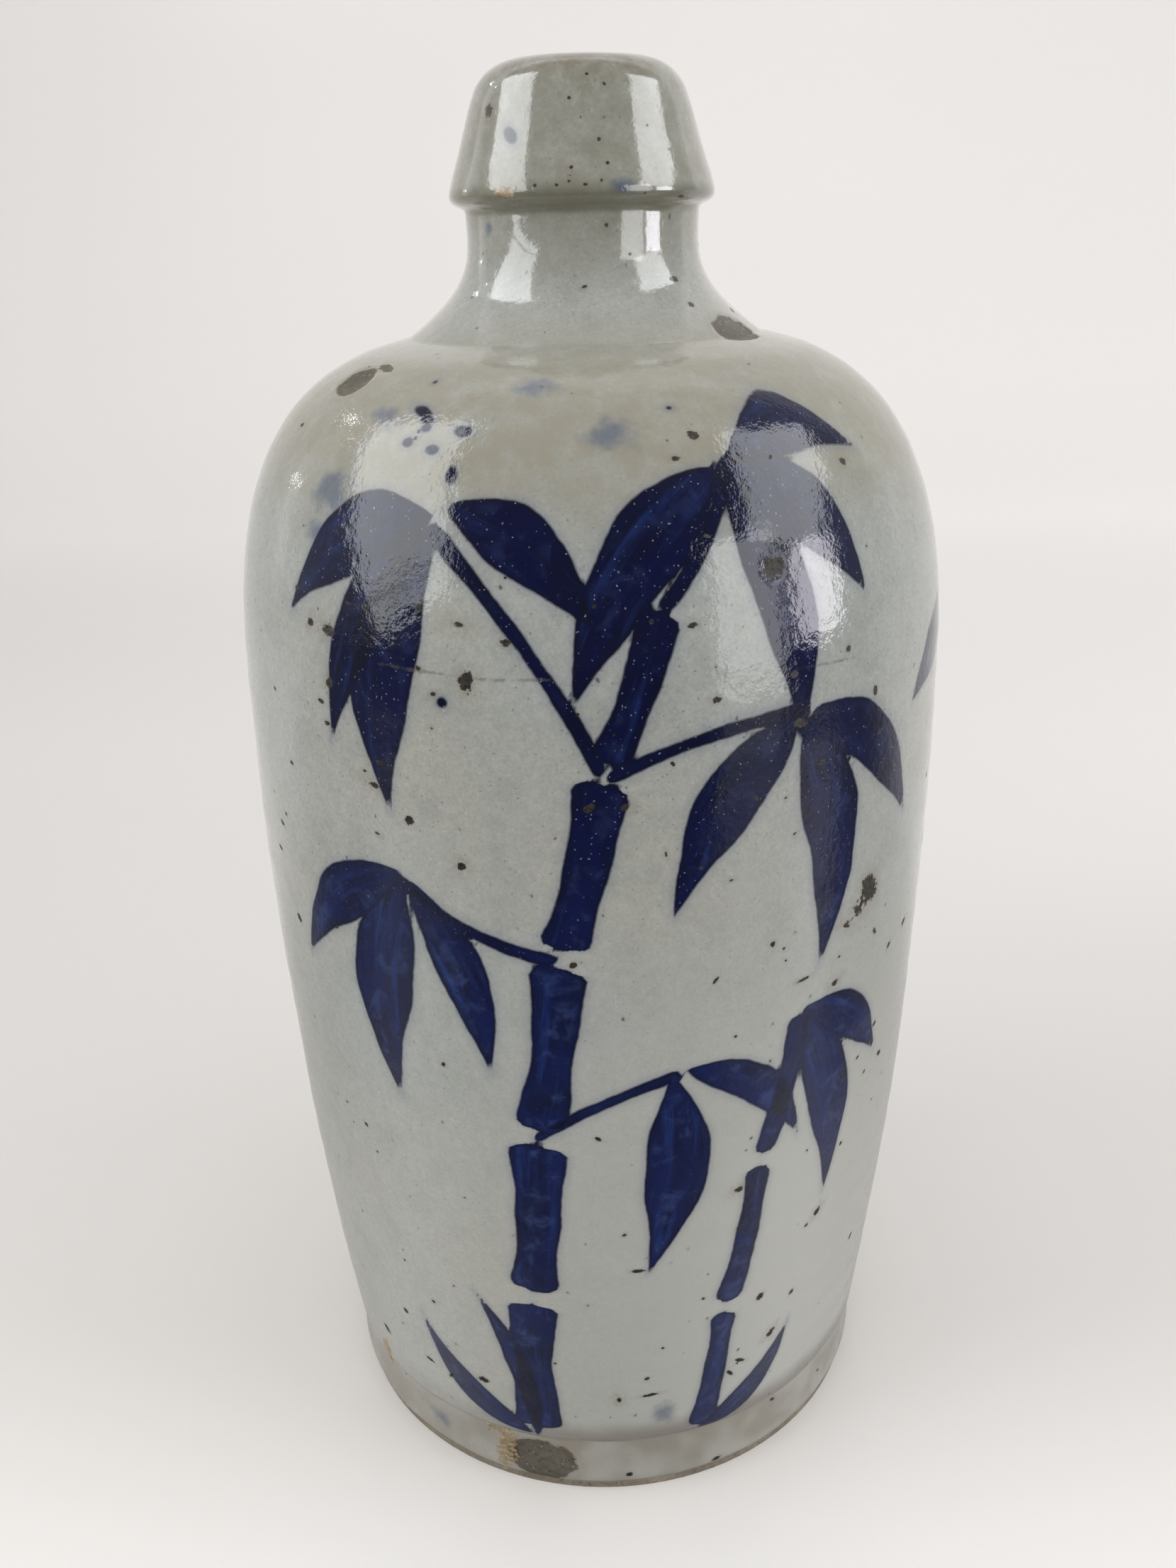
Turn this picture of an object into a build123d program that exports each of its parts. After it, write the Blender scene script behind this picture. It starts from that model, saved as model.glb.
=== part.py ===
from build123d import *
from math import asin, cos, degrees, radians, sin
import os

os.makedirs("parts", exist_ok=True)

# Glazed stoneware sake bottle, thrown in sections that are luted together and coated with one glaze.
# The origin is the centre of the foot ring on the table, and +Z runs up to the mouth. Millimetres.
# A lean is the angle of the surface off vertical, in degrees, positive where it leans inwards.

# Foot
foot_radius = 56.4            # glazed foot at the table
foot_band_height = 14.0       # turned band below the step
foot_band_radius = 57.0       # top of the band
foot_step = 0.6               # how far the wall stands out over the band
foot_ring_width = 9.0
foot_round = 1.2
recess_depth = 3.0            # turned hollow under the floor
recess_slope = 3.0            # width of the recess's sloping side

# Body and shoulder, outside
belly_radius = 65.8
belly_rise = 130.0            # from the step up to the widest point
seam_rise = 20.0              # from the widest point up to the luted seam
shoulder_rise = 54.7          # from the seam up to the root of the neck
root_radius = 31.3
root_lean = 79.0              # slope of the shoulder where it meets the neck
shoulder_low_pull = 0.72      # fullness of the shoulder curve, in chord lengths
shoulder_high_pull = 0.18

# Neck, mouth and lip, outside
neck_rise = 14.8              # from the root up to the narrowest point
neck_radius = 20.3
neck_foot_lean = 51.0
neck_low_pull = 0.31
neck_high_pull = 0.37
neck_straight = 5.8           # from the narrowest point up to the groove
collar_height = 22.9          # from the groove up to the lip
collar_radius = 23.4          # lower edge of the collar
collar_undercut = 1.4         # rise of the collar's underside
collar_edge_round = 1.6
rim_radius = 16.4             # where the collar would meet the lip's plane
lip_round = 8.0
lip_inner_round = 1.1

# Walls and coat
wall = 7.0
floor_thickness = 9.0
floor_round = 16.0
bore_radius = 9.0
bore_length = 30.0            # straight stretch below the lip
glaze = 0.45
glaze_foot_gap = 1.8          # bare clay left above the table
glaze_reach = 6.0             # how far the glaze runs down inside the mouth

# Luted joints
seam_lap = 4.0                # height of the seam's inner lip
seam_lap_slope = 1.0
rebate_width = 4.0            # seat of the neck round the shoulder's opening
rebate_depth = 3.2
spigot_radius = 15.6          # top of the neck inside the collar

# Heights that follow from the stack
belly_height = foot_band_height + belly_rise
seam_height = belly_height + seam_rise
root_height = seam_height + shoulder_rise
waist_height = root_height + neck_rise
groove_height = waist_height + neck_straight
top_height = groove_height + collar_height
belly_sagitta = belly_radius - foot_band_radius - foot_step
belly_curve = (belly_rise**2 + belly_sagitta**2) / (2 * belly_sagitta)
beyond = 2 * belly_radius     # reach of the cutting shapes


def along(lean, length):
    """A step up a surface that leans inwards."""
    return Vector(-length * sin(radians(lean)), length * cos(radians(lean)))


def inside(radius, height, lean, depth):
    """A point of the glazed outline, moved a depth into the wall."""
    return Vector(radius - depth * cos(radians(lean)), height - depth * sin(radians(lean)))


def pulled_curve(start, start_lean, end, end_lean, low_pull, high_pull):
    """A curve up the wall between two points, with its leans and fullness given."""
    chord = (end - start).length
    low_handle = start + along(start_lean, low_pull * chord)
    high_handle = end - along(end_lean, high_pull * chord)
    return Bezier(start, low_handle, high_handle, end)


def wall_lean(height, depth):
    """How the wall's long arc leans at a height."""
    return degrees(asin((height - belly_height) / (belly_curve - depth)))


def wall_point(height, depth):
    """The point at a height on the wall's long arc, drawn at a depth under the glazed surface."""
    reach = (belly_curve - depth) * cos(radians(wall_lean(height, depth)))
    return Vector(belly_radius - belly_curve + reach, height)


def wall_curves(bottom, depth):
    """Draws the wall from a bottom height up to the neck's root, and returns its two ends."""
    low, seam = wall_point(bottom, depth), wall_point(seam_height, depth)
    root = inside(root_radius, root_height, (root_lean + neck_foot_lean) / 2, depth)
    ThreePointArc(low, wall_point(belly_height, depth), seam)
    pulled_curve(seam, wall_lean(seam_height, depth), root, root_lean, shoulder_low_pull, shoulder_high_pull)
    return low, root


def outside_shape(depth):
    """The bottle's half section as a filled shape, drawn at a depth under the glazed surface."""
    band_top = (foot_band_radius - depth, foot_band_height + depth)
    groove = (neck_radius - depth, groove_height + depth)
    cone_lean = degrees(asin((collar_radius - rim_radius) / collar_height))
    cone_shift = depth / cos(radians(cone_lean))
    with BuildSketch() as shape:
        with BuildLine():
            low, root = wall_curves(foot_band_height + depth, depth)
            waist = Vector(neck_radius - depth, waist_height)
            pulled_curve(root, neck_foot_lean, waist, 0, neck_low_pull, neck_high_pull)
            Polyline((0, 0), (foot_radius - depth, 0), band_top, low)
            Polyline(waist, groove, (collar_radius - cone_shift, groove_height + collar_undercut + depth),
                     (rim_radius - cone_shift, top_height - depth), (0, top_height - depth), (0, 0))
        make_face()
    return shape.sketch


def cavity_shape():
    """The half section of the hollow, from the floor up through the bore."""
    bore_bottom = Vector(bore_radius, top_height - bore_length)
    with BuildSketch() as shape:
        with BuildLine():
            low, root = wall_curves(floor_thickness, wall)
            pulled_curve(root, root_lean, bore_bottom, 0, neck_low_pull, neck_high_pull)
            Polyline(bore_bottom, (bore_radius, top_height), (0, top_height), (0, floor_thickness),
                     low)
        make_face()
        fillet(shape.vertices().group_by(Axis.Y)[0].sort_by(Axis.X)[-1], floor_round)
    return shape.sketch


def mouth_shape(depth):
    """The strip beside the bore that the glaze fills, at the top of the mouth."""
    with BuildSketch() as shape:
        with Locations((0, top_height)):
            Rectangle(bore_radius + depth, glaze_reach, align=(Align.MIN, Align.MAX))
    return shape.sketch


def wall_shape(depth):
    """The wall, floor, neck and lip as one section, drawn at a depth under the glazed surface."""
    with BuildSketch() as shape:
        add(outside_shape(depth))
        add(cavity_shape(), mode=Mode.SUBTRACT)
        add(mouth_shape(depth), mode=Mode.SUBTRACT)
        fillet(shape.vertices().group_by(Axis.Y)[-1].sort_by(Axis.X)[0], lip_inner_round - depth)
        fillet(shape.vertices().group_by(Axis.Y)[-1].sort_by(Axis.X)[-1], lip_round - depth)
        overhang = shape.vertices().filter_by_position(Axis.Y, groove_height + depth, top_height - lip_round)
        fillet(overhang.sort_by(Axis.X)[-1], collar_edge_round - depth)
    return shape.sketch


def recess_shape():
    """The turned hollow under the floor, inside the foot ring."""
    edge = foot_radius - glaze - foot_ring_width
    with BuildSketch() as shape:
        Polygon((0, 0), (edge, 0), (edge - recess_slope, recess_depth), (0, recess_depth), align=None)
    return shape.sketch


def below_seam():
    """Everything under the lapped seam that joins the two body sections."""
    lap_radius = wall_point(seam_height, (glaze + wall) / 2).X
    lap_height = seam_height + seam_lap
    with BuildSketch() as shape:
        Polygon((0, 0), (beyond, 0), (beyond, seam_height), (lap_radius, seam_height),
                (lap_radius - seam_lap_slope, lap_height), (0, lap_height), align=None)
    return shape.sketch


def below_neck():
    """Everything under the rebate that the neck stands in."""
    seat_radius = root_radius - rebate_width
    with BuildSketch() as shape:
        Polygon((0, 0), (beyond, 0), (beyond, root_height), (root_radius, root_height),
                (root_radius, root_height - rebate_depth), (seat_radius, root_height - rebate_depth),
                (seat_radius, root_height - beyond), (0, root_height - beyond), align=None)
    return shape.sketch


def beside_spigot():
    """Everything outside the neck's spigot and above its ledge, where the collar sits."""
    with BuildSketch() as shape:
        with Locations((spigot_radius, groove_height + glaze)):
            Rectangle(beyond, collar_height, align=(Align.MIN, Align.MIN))
    return shape.sketch


clay = wall_shape(glaze)

# Lower body: thrown wall and floor on a turned foot
with BuildPart() as lower_body:
    with BuildSketch(Plane.XZ) as lower_section:
        add(clay)
        add(below_seam(), mode=Mode.INTERSECT)
        add(recess_shape(), mode=Mode.SUBTRACT)
        foot_edges = lower_section.vertices().group_by(Axis.Z)[0].sort_by(Axis.X)
        fillet([foot_edges[0], foot_edges[-1]], foot_round)
    revolve(axis=Axis.Z)
lower_body.part.label = "lower_body"
export_step(lower_body.part, "parts/lower_body.step")

# Upper body: the second thrown section, closed in to the shoulder
with BuildPart() as upper_body:
    with BuildSketch(Plane.XZ):
        add(clay)
        add(below_neck(), mode=Mode.INTERSECT)
        add(below_seam(), mode=Mode.SUBTRACT)
    revolve(axis=Axis.Z)
upper_body.part.label = "upper_body"
export_step(upper_body.part, "parts/upper_body.step")

# Neck: a tube that stands in the shoulder's rebate and carries the bore
with BuildPart() as neck:
    with BuildSketch(Plane.XZ):
        add(clay)
        add(below_neck(), mode=Mode.SUBTRACT)
        add(below_seam(), mode=Mode.SUBTRACT)
        add(beside_spigot(), mode=Mode.SUBTRACT)
    revolve(axis=Axis.Z)
neck.part.label = "neck"
export_step(neck.part, "parts/neck.step")

# Mouth collar: a ring of clay laid round the top of the neck
with BuildPart() as mouth_collar:
    with BuildSketch(Plane.XZ):
        add(clay)
        add(beside_spigot(), mode=Mode.INTERSECT)
    revolve(axis=Axis.Z)
mouth_collar.part.label = "mouth_collar"
export_step(mouth_collar.part, "parts/mouth_collar.step")

# Glaze coat: one glass skin over the outside, the lip and the top of the bore
with BuildPart() as glaze_coat:
    with BuildSketch(Plane.XZ):
        add(wall_shape(0))
        add(clay, mode=Mode.SUBTRACT)
        Rectangle(beyond, glaze_foot_gap, align=(Align.MIN, Align.MIN), mode=Mode.SUBTRACT)
    revolve(axis=Axis.Z)
glaze_coat.part.label = "glaze_coat"
export_step(glaze_coat.part, "parts/glaze_coat.step")
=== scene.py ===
"""A hand-thrown stoneware sake bottle in grey-green glaze with a cobalt bamboo spray.

Laid out as an add-on: every part of the bottle's finish and the studio round it is an operator, and the panel
in the sidebar lists them in the order in which they are made.
"""

import math
import random

import bmesh
import bpy
import numpy as np
from mathutils import Matrix, Vector, noise


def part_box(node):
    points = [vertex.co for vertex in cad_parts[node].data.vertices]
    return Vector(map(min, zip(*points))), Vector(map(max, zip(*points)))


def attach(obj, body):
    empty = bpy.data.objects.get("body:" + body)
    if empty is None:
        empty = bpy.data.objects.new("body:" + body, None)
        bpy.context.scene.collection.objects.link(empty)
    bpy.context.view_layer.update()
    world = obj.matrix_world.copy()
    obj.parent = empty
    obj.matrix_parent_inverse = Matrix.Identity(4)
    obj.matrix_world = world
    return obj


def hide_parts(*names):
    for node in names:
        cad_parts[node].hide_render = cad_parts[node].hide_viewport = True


bl_info = {
    "name": "Stoneware sake bottle",
    "version": (1, 0, 0),
    "blender": (4, 5, 0),
    "location": "3D View > Sidebar > Bottle",
    "description": "Dresses the turned clay of a sake bottle with its glaze, brushwork and foot",
    "category": "Object",
}

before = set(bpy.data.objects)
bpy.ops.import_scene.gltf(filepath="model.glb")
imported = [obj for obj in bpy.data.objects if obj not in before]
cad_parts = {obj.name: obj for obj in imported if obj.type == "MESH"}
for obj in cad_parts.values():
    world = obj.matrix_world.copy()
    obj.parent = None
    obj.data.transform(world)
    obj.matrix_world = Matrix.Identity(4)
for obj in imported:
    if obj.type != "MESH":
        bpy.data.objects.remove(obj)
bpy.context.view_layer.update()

MM = 0.001
# Heights and the belly's radius in mm.
FOOT_BAND = 14.0
BELLY_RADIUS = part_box("lower_body")[1].x / MM
BODY_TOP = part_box("neck")[0].z / MM
COLLAR_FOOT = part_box("mouth_collar")[0].z / MM
LIP_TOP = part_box("neck")[1].z / MM


# ---------------------------------------------------------------------------------------------------------
# The turned outline

WELD = 1e-6
SECTION_TURN = 0.4  # Where a section is cut, in radians from the front.
LONGEST_SECTION = 20000
SMOOTH_BEND = 0.93  # The cosine of a bend that still counts as smooth.
ON_LINE, SAME_RING = 0.15 * MM, 0.05 * MM


def ring_points(name):
    """Every ring of a turned CAD node once, as (radius, height) in metres."""
    rings = {}
    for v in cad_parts[name].data.vertices:
        radius = math.hypot(v.co.x, v.co.y)
        rings.setdefault((round(radius, 5), round(v.co.z, 5)), (radius, v.co.z))
    return list(rings.values())


def cut_outline(name):
    """The half section of a turned CAD node as a closed chain of (radius, height)."""
    side = Vector((math.sin(SECTION_TURN), -math.cos(SECTION_TURN), 0))
    bm = bmesh.new()
    bm.from_mesh(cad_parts[name].data)
    bmesh.ops.remove_doubles(bm, verts=bm.verts[:], dist=WELD)
    plane = {"plane_co": (0, 0, 0), "plane_no": Vector((0, 0, 1)).cross(side), "dist": WELD / 10}
    bmesh.ops.bisect_plane(
        bm, geom=bm.verts[:] + bm.edges[:] + bm.faces[:], **plane, clear_inner=True, clear_outer=True
    )
    bmesh.ops.remove_doubles(bm, verts=bm.verts[:], dist=WELD)
    near = {v for v in bm.verts if v.co.dot(side) > 0}
    start = min(near, key=lambda v: (round(v.co.z, 5), -v.co.dot(side)))
    chain, last = [start], None
    while True:
        steps = [e.other_vert(chain[-1]) for e in chain[-1].link_edges]
        steps = [v for v in steps if v is not last and v in near]
        if not steps:
            raise RuntimeError(f"the section of {name} isn't one closed chain")
        last = chain[-1]
        onward = max(steps, key=lambda v: v.co.dot(side)) if len(chain) == 1 else steps[0]
        if onward is start:
            break
        chain.append(onward)
        if len(chain) > LONGEST_SECTION:
            raise RuntimeError(f"the section of {name} never closes")
    points = [(v.co.dot(side), v.co.z) for v in chain]
    bm.free()
    return points


def glaze_outline():
    """The glazed outline from the foot's bare edge over the lip into the mouth, as (radius, height)."""
    chain = cut_outline("glaze_coat")

    def inward(i):
        """Least at the coat's inner end in the mouth."""
        radius, height = chain[i]
        return radius + height * 0.2 if height > BODY_TOP * MM else math.inf

    line = np.array(chain[: min(range(len(chain)), key=inward) + 1])
    run = line[1:] - line[:-1]
    reach = np.hypot(run[:, 0], run[:, 1])
    line, run, reach = line[:-1][reach > 0], run[reach > 0], reach[reach > 0]
    walked = np.concatenate(([0.0], np.cumsum(reach)[:-1]))
    placed = []
    for ring in ring_points("glaze_coat"):
        share = np.clip(((ring - line) * run).sum(1) / reach**2, 0, 1)
        off = np.hypot(*(ring - line - run * share[:, None]).T)
        k = int(off.argmin())
        if off[k] < ON_LINE:
            placed.append((walked[k] + reach[k] * share[k], ring))
    placed.sort()
    outline = [placed[0][1]]
    for _, ring in placed[1:]:
        if math.dist(ring, outline[-1]) > SAME_RING:
            outline.append(ring)
    return outline


def smooth_path(points, gaps):
    """Rings along a smooth curve through the points: how far along, place and outward normal of each.

    gaps gives the distance to the next ring from a height in metres.
    """
    line = np.array(points)
    chords = np.hypot(*np.diff(line, axis=0).T)
    walked = np.concatenate(([0.0], np.cumsum(chords)))
    slope = np.diff(line, axis=0) / chords[:, None]
    near = (chords[1:] / (chords[1:] + chords[:-1]))[:, None]
    mean = slope[:-1] * near + slope[1:] * (1 - near)
    corner = ((slope[:-1] * slope[1:]).sum(1) < SMOOTH_BEND)[:, None]
    arriving = np.concatenate((slope[:1], np.where(corner, slope[:-1], mean), slope[-1:]))
    leaving = np.concatenate((slope[:1], np.where(corner, slope[1:], mean), slope[-1:]))
    rings, far = [], 0.0
    while True:
        i = min(int(np.searchsorted(walked, far, "right")) - 1, len(chords) - 1)
        t, span = (far - walked[i]) / chords[i], chords[i]
        a, b = 2 * t**3 - 3 * t**2 + 1, t**3 - 2 * t**2 + t
        c, d = -2 * t**3 + 3 * t**2, t**3 - t**2
        at = line[i] * a + leaving[i] * span * b + line[i + 1] * c + arriving[i + 1] * span * d
        rings.append((far, at[0], at[1]))
        if far >= walked[-1]:
            break
        far = min(far + gaps(at[1]), walked[-1])
    path = np.array(rings)
    run = np.gradient(path[:, 1:], axis=0)
    run /= np.hypot(*run.T)[:, None]
    return path[:, 0], path[:, 1:], np.stack((run[:, 1], -run[:, 0]), 1)


OUTLINE = glaze_outline()


def outer_radius(height):
    """The glazed radius at a height, in mm."""
    for (r0, z0), (r1, z1) in zip(OUTLINE, OUTLINE[1:]):
        if z0 <= height * MM <= z1 and z1 > z0:
            return (r0 + (r1 - r0) * (height * MM - z0) / (z1 - z0)) / MM
    return OUTLINE[0][0] / MM


def wall_slope(height):
    """How far the wall leans in at a height, in radians; 0 is upright."""
    return math.atan2(outer_radius(height - 1.5) - outer_radius(height + 1.5), 3.0)


def on_wall(angle, height, out=0.0):
    """A point of the glazed surface in mm, at an angle in degrees from the front towards the right."""
    turn, radius = math.radians(angle), outer_radius(height) + out
    return Vector((radius * math.sin(turn), -radius * math.cos(turn), height))


# ---------------------------------------------------------------------------------------------------------
# What the kiln left on the bottle: angle from the front and height, width and height of the mark, its tilt

BARE_PATCHES = {
    "left shoulder, unglazed lens": (-57, 213.8, 8.4, 7.8, 45),
    "left shoulder, its tail": (-52, 215.8, 4.4, 1.7, 48),
    "right shoulder, unglazed lens": (57.5, 219.7, 11.5, 7.2, 8),
    "foot, finger mark in the clay": (-14, 6.6, 14.5, 11.5, 3),
    "back, stacking scar": (152, 96, 6.0, 4.0, 12),
    "back shoulder, unglazed lens": (-141, 213, 9.0, 4.4, 15),
}
PITS = {
    "great pit": (26, 188.5, 3.9, 3.4, -7),
    "pit over the left leaf": (-17, 173.5, 2.3, 3.1, 4),
    "left shoulder pit": (-40, 178.5, 2.6, 2.0, 9),
    "left shoulder chip": (-44, 179, 1.4, 1.3, 10),
    "pit in the left shine": (-18, 182, 1.7, 0.9, 4),
    "left lower pit": (-40, 170, 1.5, 1.9, 11),
    "left belly pit": (-19, 143, 1.4, 1.4, 8),
    "left belly, upper of two": (-31, 158.5, 1.5, 0.9, 10),
    "left belly, lower of two": (-32.5, 154.5, 2.2, 1.0, 11),
    "right belly blot": (33.5, 156.5, 2.3, 0.9, -21),
    "right belly, round": (39, 113.5, 1.7, 1.1, -22),
    "kiln scar on the right flank": (45.8, 129.2, 5.6, 4.4, 62),
    "scar's tail": (43.2, 126.2, 3.2, 1.5, 35),
    "scar's tail, end": (40.6, 124.2, 2.2, 0.9, 30),
    "centre ochre pit": (4, 154, 1.8, 1.0, -30),
    "low right pit": (32.5, 34.5, 2.4, 1.5, -50),
    "low right, upper": (40.5, 61.5, 2.1, 1.2, -48),
    "pit on the low twig": (22.5, 76, 1.9, 1.3, -18),
    "low brush pit": (2, 26.5, 1.0, 1.4, -4),
    "pit on the collar": (-50, 254, 2.4, 1.8, 30),
    "back pit": (171, 148, 2.4, 2.2, 0),
    "back shoulder pit": (-118, 188, 2.0, 2.6, 15),
}
FLECKS = (
    (-42, 166.5, 1.5, 0.9, 12), (-24, 184, 1.2, 1.1, 5), (-24, 175, 1.0, 0.8, 6), (-41, 163, 1.4, 0.8, 12),
    (0.5, 185, 0.8, 0.7, 0), (-11.5, 189, 0.6, 0.5, 0), (-34, 156.5, 0.8, 0.5, 12),
    (-24.5, 104, 0.9, 0.9, 14), (-57.5, 139.5, 1.9, 0.8, 20), (-60, 133.5, 1.9, 0.8, 21),
    (-51.5, 153, 1.2, 0.7, 16), (-32.5, 146, 1.0, 0.5, 13), (8, 182.5, 0.8, 0.7, 0),
    (13.5, 181.5, 1.5, 0.9, -5), (38.5, 174, 1.0, 1.3, -11), (16.5, 170, 1.6, 1.0, -7),
    (13.5, 204.5, 1.5, 0.8, -4), (44.5, 165.5, 1.2, 2.2, -16), (46, 158, 1.2, 1.0, -16),
    (50, 150, 0.9, 2.1, -36), (22.5, 153, 1.2, 0.6, 58), (31, 148, 0.8, 0.7, -14), (14.5, 142.5, 0.8, 0.8, 0),
    (9.5, 145.5, 0.5, 1.2, -6), (19, 139.5, 0.9, 0.5, -11), (34, 134, 0.9, 0.8, -17),
    (26, 126, 0.9, 1.1, -15), (28, 124.5, 0.6, 0.6, 0), (32, 117, 2.9, 0.7, -6), (17, 121.5, 1.6, 0.6, -51),
    (54.5, 113.5, 1.6, 0.9, -32), (48.5, 119.5, 0.9, 1.6, -32), (61, 115, 2.0, 1.1, -30),
    (52, 98, 1.5, 0.9, -29), (39.5, 118.5, 0.7, 0.5, 0), (28.5, 122, 0.5, 0.5, 0), (20.5, 109.5, 0.6, 0.6, 0),
    (30, 127, 0.5, 0.4, 0), (47, 93.5, 1.0, 0.6, -27), (50, 88.5, 1.0, 0.6, -28), (25, 101, 0.9, 0.6, -18),
    (38, 59.5, 1.1, 0.8, -33), (45, 75, 0.9, 0.9, -27), (36.5, 43, 1.5, 1.0, -44), (5.5, 61, 2.7, 0.8, 0),
    (10, 40, 0.6, 0.6, 0), (4, 4, 1.3, 0.9, -7), (22.5, 3, 2.3, 1.1, -20), (55.5, 44, 1.7, 0.9, -38),
    (42.5, 82, 0.8, 0.5, -27), (-41.5, 37, 1.5, 1.1, 37), (-43.5, 82.5, 1.2, 0.8, 28),
    (-37, 26, 2.0, 0.9, 14), (-32, 24.5, 1.9, 0.8, -50), (-9.5, 36.5, 0.6, 0.6, 0), (-39, 52, 0.7, 0.6, 0),
    (4, 258.5, 0.6, 0.6, 0), (12.5, 257, 0.7, 0.6, 0), (-5, 255, 0.6, 0.6, 0), (8, 249, 0.6, 0.6, 0),
    (11, 245.5, 0.6, 0.6, 0), (-4, 245, 0.6, 0.6, 0), (32, 251, 0.5, 0.5, 0), (42, 247.5, 0.6, 0.5, 0),
    (11, 236.5, 0.7, 0.7, 0), (22, 232, 0.6, 0.5, 0), (-19, 242.5, 0.6, 0.5, 0), (-10, 242.5, 0.6, 0.5, 0),
    (-5, 243, 0.6, 0.5, 0), (1.5, 242.5, 0.7, 0.5, 0), (8, 243, 0.5, 0.5, 0), (26, 241, 0.6, 0.5, 0),
    (45.5, 240.5, 1.4, 0.6, 0), (121, 60, 1.8, 2.0, 0), (25.9, 30.4, 2.6, 1.0, 28),
    (23.8, 28.0, 2.2, 0.8, 52), (8.0, 27.2, 3.6, 0.8, -6),
)
HAIRLINES = (
    (-32, 183.2, 8.5, 0.5, 1), (-24, 174.6, 9.5, 0.45, 2), (-9.5, 174.2, 6.5, 0.4, -2),
    (35, 172.5, 7.0, 0.4, 3), (170, 173, 16.0, 0.5, 0),
)
DROPS = (
    (-30, 210.6, 3.9, 1.9, 48), (-28, 208.6, 2.0, 1.7, 3), (-30.5, 206.6, 2.0, 1.7, 3),
    (-21, 208.4, 3.0, 2.1, 12), (-25.4, 205.8, 2.5, 1.9, 3), (-21, 202.6, 2.0, 2.8, 2),
    (-20.5, 170, 1.9, 1.7, 6), (-33.5, 250, 3.2, 2.0, 40), (14.5, 211, 0.9, 0.7, 0),
    (-32, 214.4, 0.8, 0.9, 0), (-158, 176, 2.6, 2.0, 0),
)
COBALT_BREATH = {
    "breath over the shoulder": (4, 208, 9.0, 7.0, -12),
    "breath over the shoulder, left of it": (-9, 214, 8.0, 5.0, 10),
    "breath at the left": (-43, 199, 9.5, 8.0, 6),
    "breath low at the left": (-44, 193, 7.0, 4.0, 7),
    "breath high at the left": (-37, 209.5, 8.0, 4.5, 30),
    "breath in the groove": (17, 242, 5.0, 2.6, -1),
    "breath on the neck": (-50, 236.5, 2.0, 2.4, 0),
    "breath at the foot": (-38, 8, 6.5, 5.0, 20),
    "breath low at the right": (10.5, 21.5, 6.0, 6.0, -15),
    "breath at the back": (138, 190, 9.0, 7.0, 10),
}
OCHRE_CRUSTS = {
    "sand by the finger mark": (-21.3, 8.6, 4.6, 11.0, 4),
    "sand on the step": (-24.6, 13.0, 4.0, 1.4, 18),
    "left foot stain": (-54, 15.5, 3.4, 10.0, 14),
    "rust under the collar": (-33, 241.6, 4.4, 1.7, -2),
    "back foot sand": (164, 8, 9.0, 5.0, 0),
}
CLEAR_EDGE, CLEAR_GAP = 6.0, 3.0  # How far the scattered flecks keep off foot, collar and the marks, in mm.


def scattered_flecks(count, seed):
    """More flecks of iron all over, small ones mostly, that keep off the ones above."""
    rng = random.Random(seed)
    kept = []
    while len(kept) < count:
        angle, height = rng.uniform(-180, 180), rng.uniform(CLEAR_EDGE, COLLAR_FOOT - CLEAR_EDGE)
        size = 0.4 + 1.2 * rng.random() ** 3
        others = (*PITS.values(), *FLECKS, *kept)
        gaps = (math.hypot(math.radians(angle - a) * outer_radius(h), height - h) for a, h, *_ in others)
        if min(gaps) > CLEAR_GAP:
            kept.append((angle, height, size * rng.uniform(1, 1.8), size, rng.uniform(-50, 50)))
    return kept


# ---------------------------------------------------------------------------------------------------------
# The bamboo spray, laid out on the unrolled front in mm: across from the front's middle, and height.
# Each stroke runs from a start to an end, with the brush's width, the stroke's bow and whether it is a leaf.

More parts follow.
